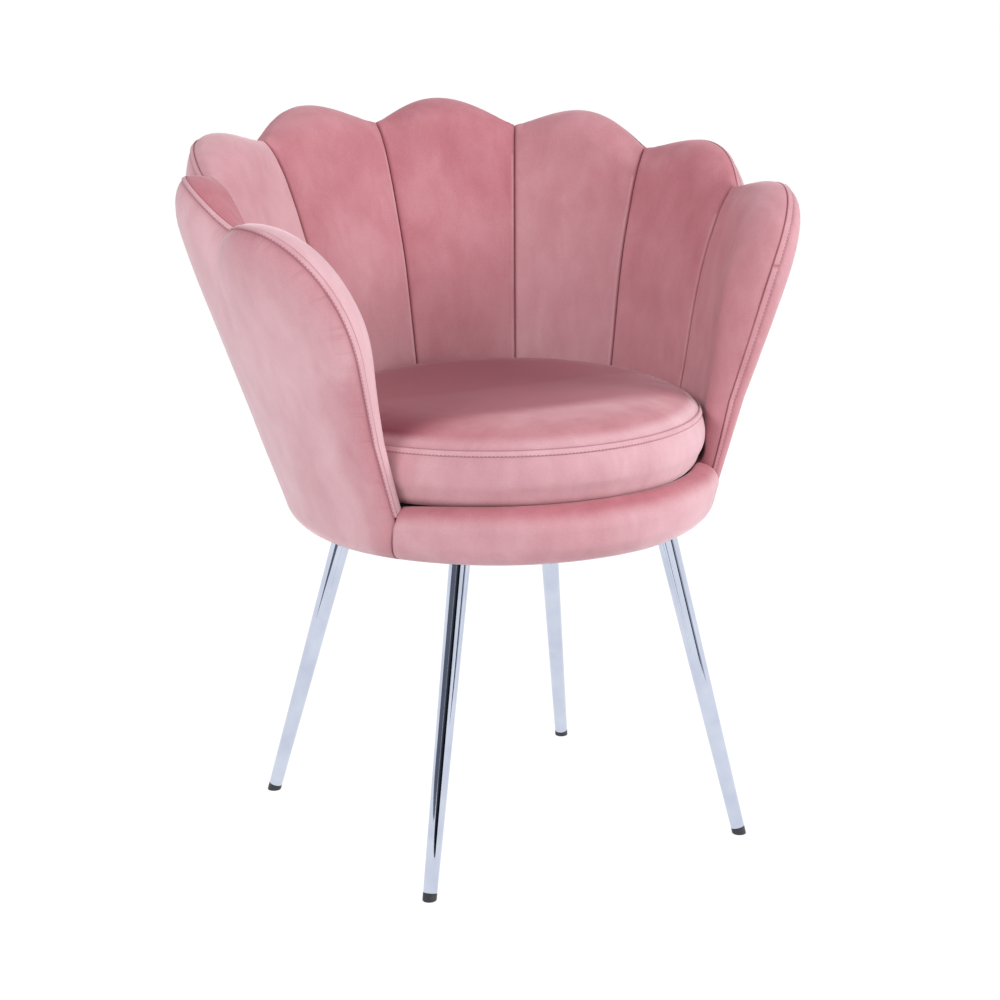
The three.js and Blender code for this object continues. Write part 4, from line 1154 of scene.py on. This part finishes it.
def cushion_welt_back(angle, share):
    return cushion_side(angle, CUSHION_SEAM - WELT_WIDTH * share, 0.0)


round_angles = [2 * math.pi * i / 240 for i in range(241)]
bm = laid_piece(round_angles, welt_shares, cushion_welt_front, cushion_welt_back)
finished("cushion_welt_velvet", bm, "cushion", "velvet", rose_velvet, "cushion_welt")
on_band = [cushion_welt_front(angle, STITCH_SHARE)[0] for angle in round_angles]
outwards = [Vector((math.sin(angle), math.cos(angle), 0)) for angle in round_angles]
stitch_row("cushion_stitches", on_band, outwards, "cushion", thread)

# %% [markdown]
# ## The black cloths
# Under the cushion the deck is covered with black spun-bonded cloth, and so are the
# underside of the cushion and the bottom of the seat, where it hides the staples.

# %% Deck, cushion base and dust cover


def cloth_disc(name, node, outline, body, ripple):
    """A flat sheet over a node's box, as wide as an outline says, with slight ripples."""
    low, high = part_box(node)
    bm = bmesh.new()
    line = [bm.verts.new((i / 24, 0, 0)) for i in range(25)]
    edges = [bm.edges.new(pair) for pair in zip(line, line[1:])]
    bmesh.ops.spin(bm, geom=line + edges, cent=(0, 0, 0), axis=(0, 0, 1), angle=2 * math.pi, steps=96, use_merge=True)
    bmesh.ops.remove_doubles(bm, verts=bm.verts[:], dist=1e-5)
    middle = (low.z + high.z) / 2
    for vert in bm.verts:
        angle = math.atan2(vert.co.x, vert.co.y)
        share = vert.co.xy.length
        edge = outline(angle)
        wave = ripple * soft_noise((vert.co.x, vert.co.y, low.z), 0.35) * (1 - share**6)
        vert.co = (edge.x * share, TUB_Y + (edge.y - TUB_Y) * share, middle + wave)
    area = sum(face.calc_area() for face in bm.faces)
    piece = finished(name, bm, body, "black_cloth", spun_cloth, node)
    thick = piece.modifiers.new("thickness", "SOLIDIFY")
    thick.thickness, thick.offset = 0.0005, 0
    return piece


def round_outline(radius_x, front, back):
    def at(angle):
        depth = back if math.cos(angle) > 0 else front
        return Vector((radius_x * math.sin(angle), TUB_Y + depth * math.cos(angle), 0))

    return at


def deck_edge(angle):
    return wall_point(angle, PAD_BOTTOM, -half_thickness(angle, PAD_BOTTOM) - 0.0010)


cloth_disc("deck_cloth_sheet", "deck_cloth", deck_edge, "chair_frame", 0.0003)
base_outline = round_outline(CUSHION_WIDTH - CUSHION_EDGE, CUSHION_FRONT - CUSHION_EDGE, CUSHION_BACK - CUSHION_EDGE)
cloth_disc("cushion_base_sheet", "cushion_base_panel", base_outline, "cushion", 0.0)
dust_radius = LIP_RADIUS - GAP
dust_outline = round_outline(dust_radius, dust_radius, dust_radius)
cloth_disc("dust_cover_sheet", "dust_cover", dust_outline, "chair_frame", 0.0003)

# %% [markdown]
# ## Legs and caps
# Each leg is a steel tube that tapers to the floor, cut level under its plate. A cone is
# stood on the foot, leant to the plate and cut with a plane. Its cap is a short black collar
# with a rounded lower edge, cut level with the floor.

# %% Legs
LEG_FOOT_RADIUS, LEG_TOP_RADIUS = 0.0075, 0.01125
CAP_HEIGHT = 0.008
LEG_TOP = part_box("leg_front_left")[1].z
FOOT_X, FOOT_FRONT, FOOT_BACK = 0.195, 0.191, 0.203
TOP_X, TOP_FRONT, TOP_BACK = 0.127, 0.140, 0.123


def tapered_bar(foot, top, low, high, sides=72):
    """A cone between two heights along a leg, with its radius at each."""
    way = top - foot
    length = way.length

    def radius(along):
        return mix(LEG_FOOT_RADIUS, LEG_TOP_RADIUS, along / length)

    bm = bmesh.new()
    middle = foot + way.normalized() * (low + high) / 2
    stand = Matrix.Translation(middle) @ way.to_track_quat("Z", "Y").to_matrix().to_4x4()
    bmesh.ops.create_cone(
        bm,
        cap_ends=True,
        segments=sides,
        radius1=radius(max(low, 0)),
        radius2=radius(high),
        depth=high - low,
        matrix=stand,
    )
    return bm


def cut_level(bm, z, keep_below):
    """Cuts a bar level at a height and closes the cut."""
    cut = bmesh.ops.bisect_plane(
        bm,
        geom=bm.verts[:] + bm.edges[:] + bm.faces[:],
        plane_co=(0, 0, z),
        plane_no=(0, 0, 1),
        clear_outer=keep_below,
        clear_inner=not keep_below,
    )
    rim = [e for e in cut["geom_cut"] if isinstance(e, bmesh.types.BMEdge)]
    bmesh.ops.holes_fill(bm, edges=rim)
    return rim


def softened(bm, edges, radius):
    bmesh.ops.bevel(bm, geom=edges, offset=radius, segments=3, profile=0.5, affect="EDGES", material=-1)


for across_name, side in (("left", -1), ("right", 1)):
    for depth_name, foot_y, top_y in (("front", -FOOT_FRONT, -TOP_FRONT), ("back", FOOT_BACK, TOP_BACK)):
        name = f"{depth_name}_{across_name}"
        foot = Vector((side * FOOT_X, TUB_Y + foot_y, 0))
        top = Vector((side * TOP_X, TUB_Y + top_y, LEG_TOP))
        bm = tapered_bar(foot, top, CAP_HEIGHT + GAP, (top - foot).length + 0.02)
        low_rim = [e for e in bm.edges if e.calc_length() < 0.002 and min(v.co.z for v in e.verts) < 0.02]
        softened(bm, low_rim, 0.0003)
        cut_level(bm, LEG_TOP, True)
        finished(f"leg_tube_{name}", bm, "chair_frame", "chrome", chrome, f"leg_{name}", sharp=40)
        bm = tapered_bar(foot, top, -0.02, CAP_HEIGHT)
        bottom_rim = cut_level(bm, 0.0, False)
        softened(bm, bottom_rim, 0.0012)
        finished(f"foot_cap_black_{name}", bm, "chair_frame", "black_plastic", black_plastic, f"foot_cap_{name}", sharp=40)

# %% [markdown]
# ## The model's own hard pieces
# The plywood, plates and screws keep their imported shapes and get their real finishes.

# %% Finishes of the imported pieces
for name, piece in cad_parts.items():
    if piece.hide_render:
        continue
    wooden = name in ("seat_board", "base_ring", "deck_board", "back_shell")
    piece.data.materials.clear()
    piece.data.materials.append(plywood if wooden else zinc)
shown = [name for name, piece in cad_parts.items() if not piece.hide_render]
print("packed pieces shown:", ", ".join(shown))

# %% [markdown]
# ## Floor and light
# The chair stands on a plain white floor that runs into a white background. The main light
# is a large soft lamp high at the front right; a smaller one at the left, a weak one in
# front and an even white room fill the shadows. Three cards on the floor are seen by
# mirrors only: they give the plated legs their grey and dark streaks, as a studio does.

# %% Floor and light


def stage_plane(name, size, matrix, material):
    bm = bmesh.new()
    bmesh.ops.create_grid(bm, x_segments=1, y_segments=1, size=size, matrix=matrix)
    mesh = bpy.data.meshes.new(name)
    bm.to_mesh(mesh)
    bm.free()
    mesh.materials.append(material)
    made = bpy.data.objects.new(name, mesh)
    bpy.context.scene.collection.objects.link(made)
    return made


FRONT_RIGHT_FOOT = Vector((FOOT_X, TUB_Y - FOOT_FRONT, 0))


def dark_card(name, start, end, height, stops):
    """An upright card that only mirrors see, with its greys along its length."""
    middle, half = (start + end) / 2, (end - start) / 2
    rise = Vector((0, 0, height / 2))
    across = half.cross(rise).normalized()
    place = Matrix((half, rise, across)).transposed().to_4x4()
    place.translation = middle + rise
    material = bpy.data.materials.new(name)
    material.use_nodes = True
    tree = material.node_tree
    tree.nodes.clear()
    where = add_node(tree, "ShaderNodeTexCoord").outputs["Object"]
    where = add_node(tree, "ShaderNodeSeparateXYZ", {"Vector": where}).outputs["X"]
    along = add_node(tree, "ShaderNodeMapRange", {"Value": where, "From Min": start.x, "From Max": end.x})
    glow = add_node(tree, "ShaderNodeEmission", {"Color": colour_ramp(tree, along.outputs["Result"], stops)})
    add_node(tree, "ShaderNodeOutputMaterial", {"Surface": glow.outputs[0]})
    card = stage_plane(name, 1, place, material)
    card.visible_camera = card.visible_diffuse = card.visible_shadow = card.visible_transmission = False
    return card


def camera_white(name, colour, share):
    """A pale matt surface that is part white of itself for the camera and for mirrors."""
    material = bpy.data.materials.new(name)
    material.use_nodes = True
    tree = material.node_tree
    tree.nodes.clear()
    seen = add_node(tree, "ShaderNodeLightPath").outputs
    either = add_node(tree, "ShaderNodeMath", {0: seen["Is Camera Ray"], 1: seen["Is Glossy Ray"]}, operation="MAXIMUM")
    either = add_node(tree, "ShaderNodeMath", {0: either.outputs[0], 1: seen["Is Transmission Ray"]}, operation="MAXIMUM")
    share = add_node(tree, "ShaderNodeMath", {0: either.outputs[0], 1: share}, operation="MULTIPLY")
    matt = add_node(tree, "ShaderNodeBsdfDiffuse", {"Color": linear(colour)})
    white = add_node(tree, "ShaderNodeEmission", {"Color": (1, 1, 1, 1), "Strength": 1.10})
    inputs = {0: share.outputs[0], 1: matt.outputs[0], 2: white.outputs[0]}
    both = add_node(tree, "ShaderNodeMixShader", inputs)
    add_node(tree, "ShaderNodeOutputMaterial", {"Surface": both.outputs[0]})
    return material


def area_lamp(name, place, target, size, power, colour="ffffff"):
    data = bpy.data.lights.new(name, "AREA")
    data.shape, data.size, data.energy = "DISK", size, power
    data.color = linear(colour)[:3]
    lamp = bpy.data.objects.new(name, data)
    lamp.location = place
    way = Vector(target) - Vector(place)
    lamp.rotation_euler = way.to_track_quat("-Z", "Y").to_euler()
    bpy.context.scene.collection.objects.link(lamp)
    return lamp


stage_plane("floor", 12, Matrix.Identity(4), camera_white("pale_floor", "f2f2f2", 0.85))
area_lamp("left_lamp", (-3.0, -1.3, 2.2), (0, 0, 0.5), 1.2, 52)
area_lamp("front_lamp", (1.0, -3.4, 1.5), (0, 0, 0.5), 2.0, 28)
area_lamp("right_lamp", (3.0, -1.8, 2.2), (0, 0, 0.5), 1.6, 80)
# The first card passes edge-on by the front right leg and so darkens only the left one.
card_way = Vector((-math.sin(math.radians(65)), -math.cos(math.radians(65)), 0))
card_ends = [FRONT_RIGHT_FOOT + card_way * far for far in (0.43, 2.2)]
dark_card("left_card", *card_ends, 1.2, [(0.0, "08090b"), (0.06, "1d1f23"), (0.30, "50535b"), (1.0, "8d919b")])
wall_ends = [Vector((-0.85, -0.60, 0)), Vector((-0.85, 0.15, 0))]
dark_card("left_wall", *wall_ends, 1.2, [(0.0, "6d7079"), (0.5, "989ca6"), (1.0, "ccd0da")])
strip_ends = [Vector((0.225, -1.036, 0)), Vector((0.700, -1.000, 0))]
dark_card("front_card", *strip_ends, 0.9, [(0.0, "101114"), (0.30, "24262b"), (0.36, "8d919b"), (1.0, "d2d6df")])

world = bpy.data.worlds.new("white_room")
bpy.context.scene.world = world
world.use_nodes = True
tree = world.node_tree
tree.nodes.clear()
seen = add_node(tree, "ShaderNodeLightPath").outputs
either = add_node(tree, "ShaderNodeMath", {0: seen["Is Camera Ray"], 1: seen["Is Glossy Ray"]}, operation="MAXIMUM")
either = add_node(tree, "ShaderNodeMath", {0: either.outputs[0], 1: seen["Is Transmission Ray"]}, operation="MAXIMUM")
room = add_node(tree, "ShaderNodeBackground", {"Color": linear("f6f7fa"), "Strength": 0.55})
white = add_node(tree, "ShaderNodeBackground", {"Color": (1, 1, 1, 1), "Strength": 1.0})
inputs = {0: either.outputs[0], 1: room.outputs[0], 2: white.outputs[0]}
both = add_node(tree, "ShaderNodeMixShader", inputs)
add_node(tree, "ShaderNodeOutputWorld", {"Surface": both.outputs[0]})
print("lit")
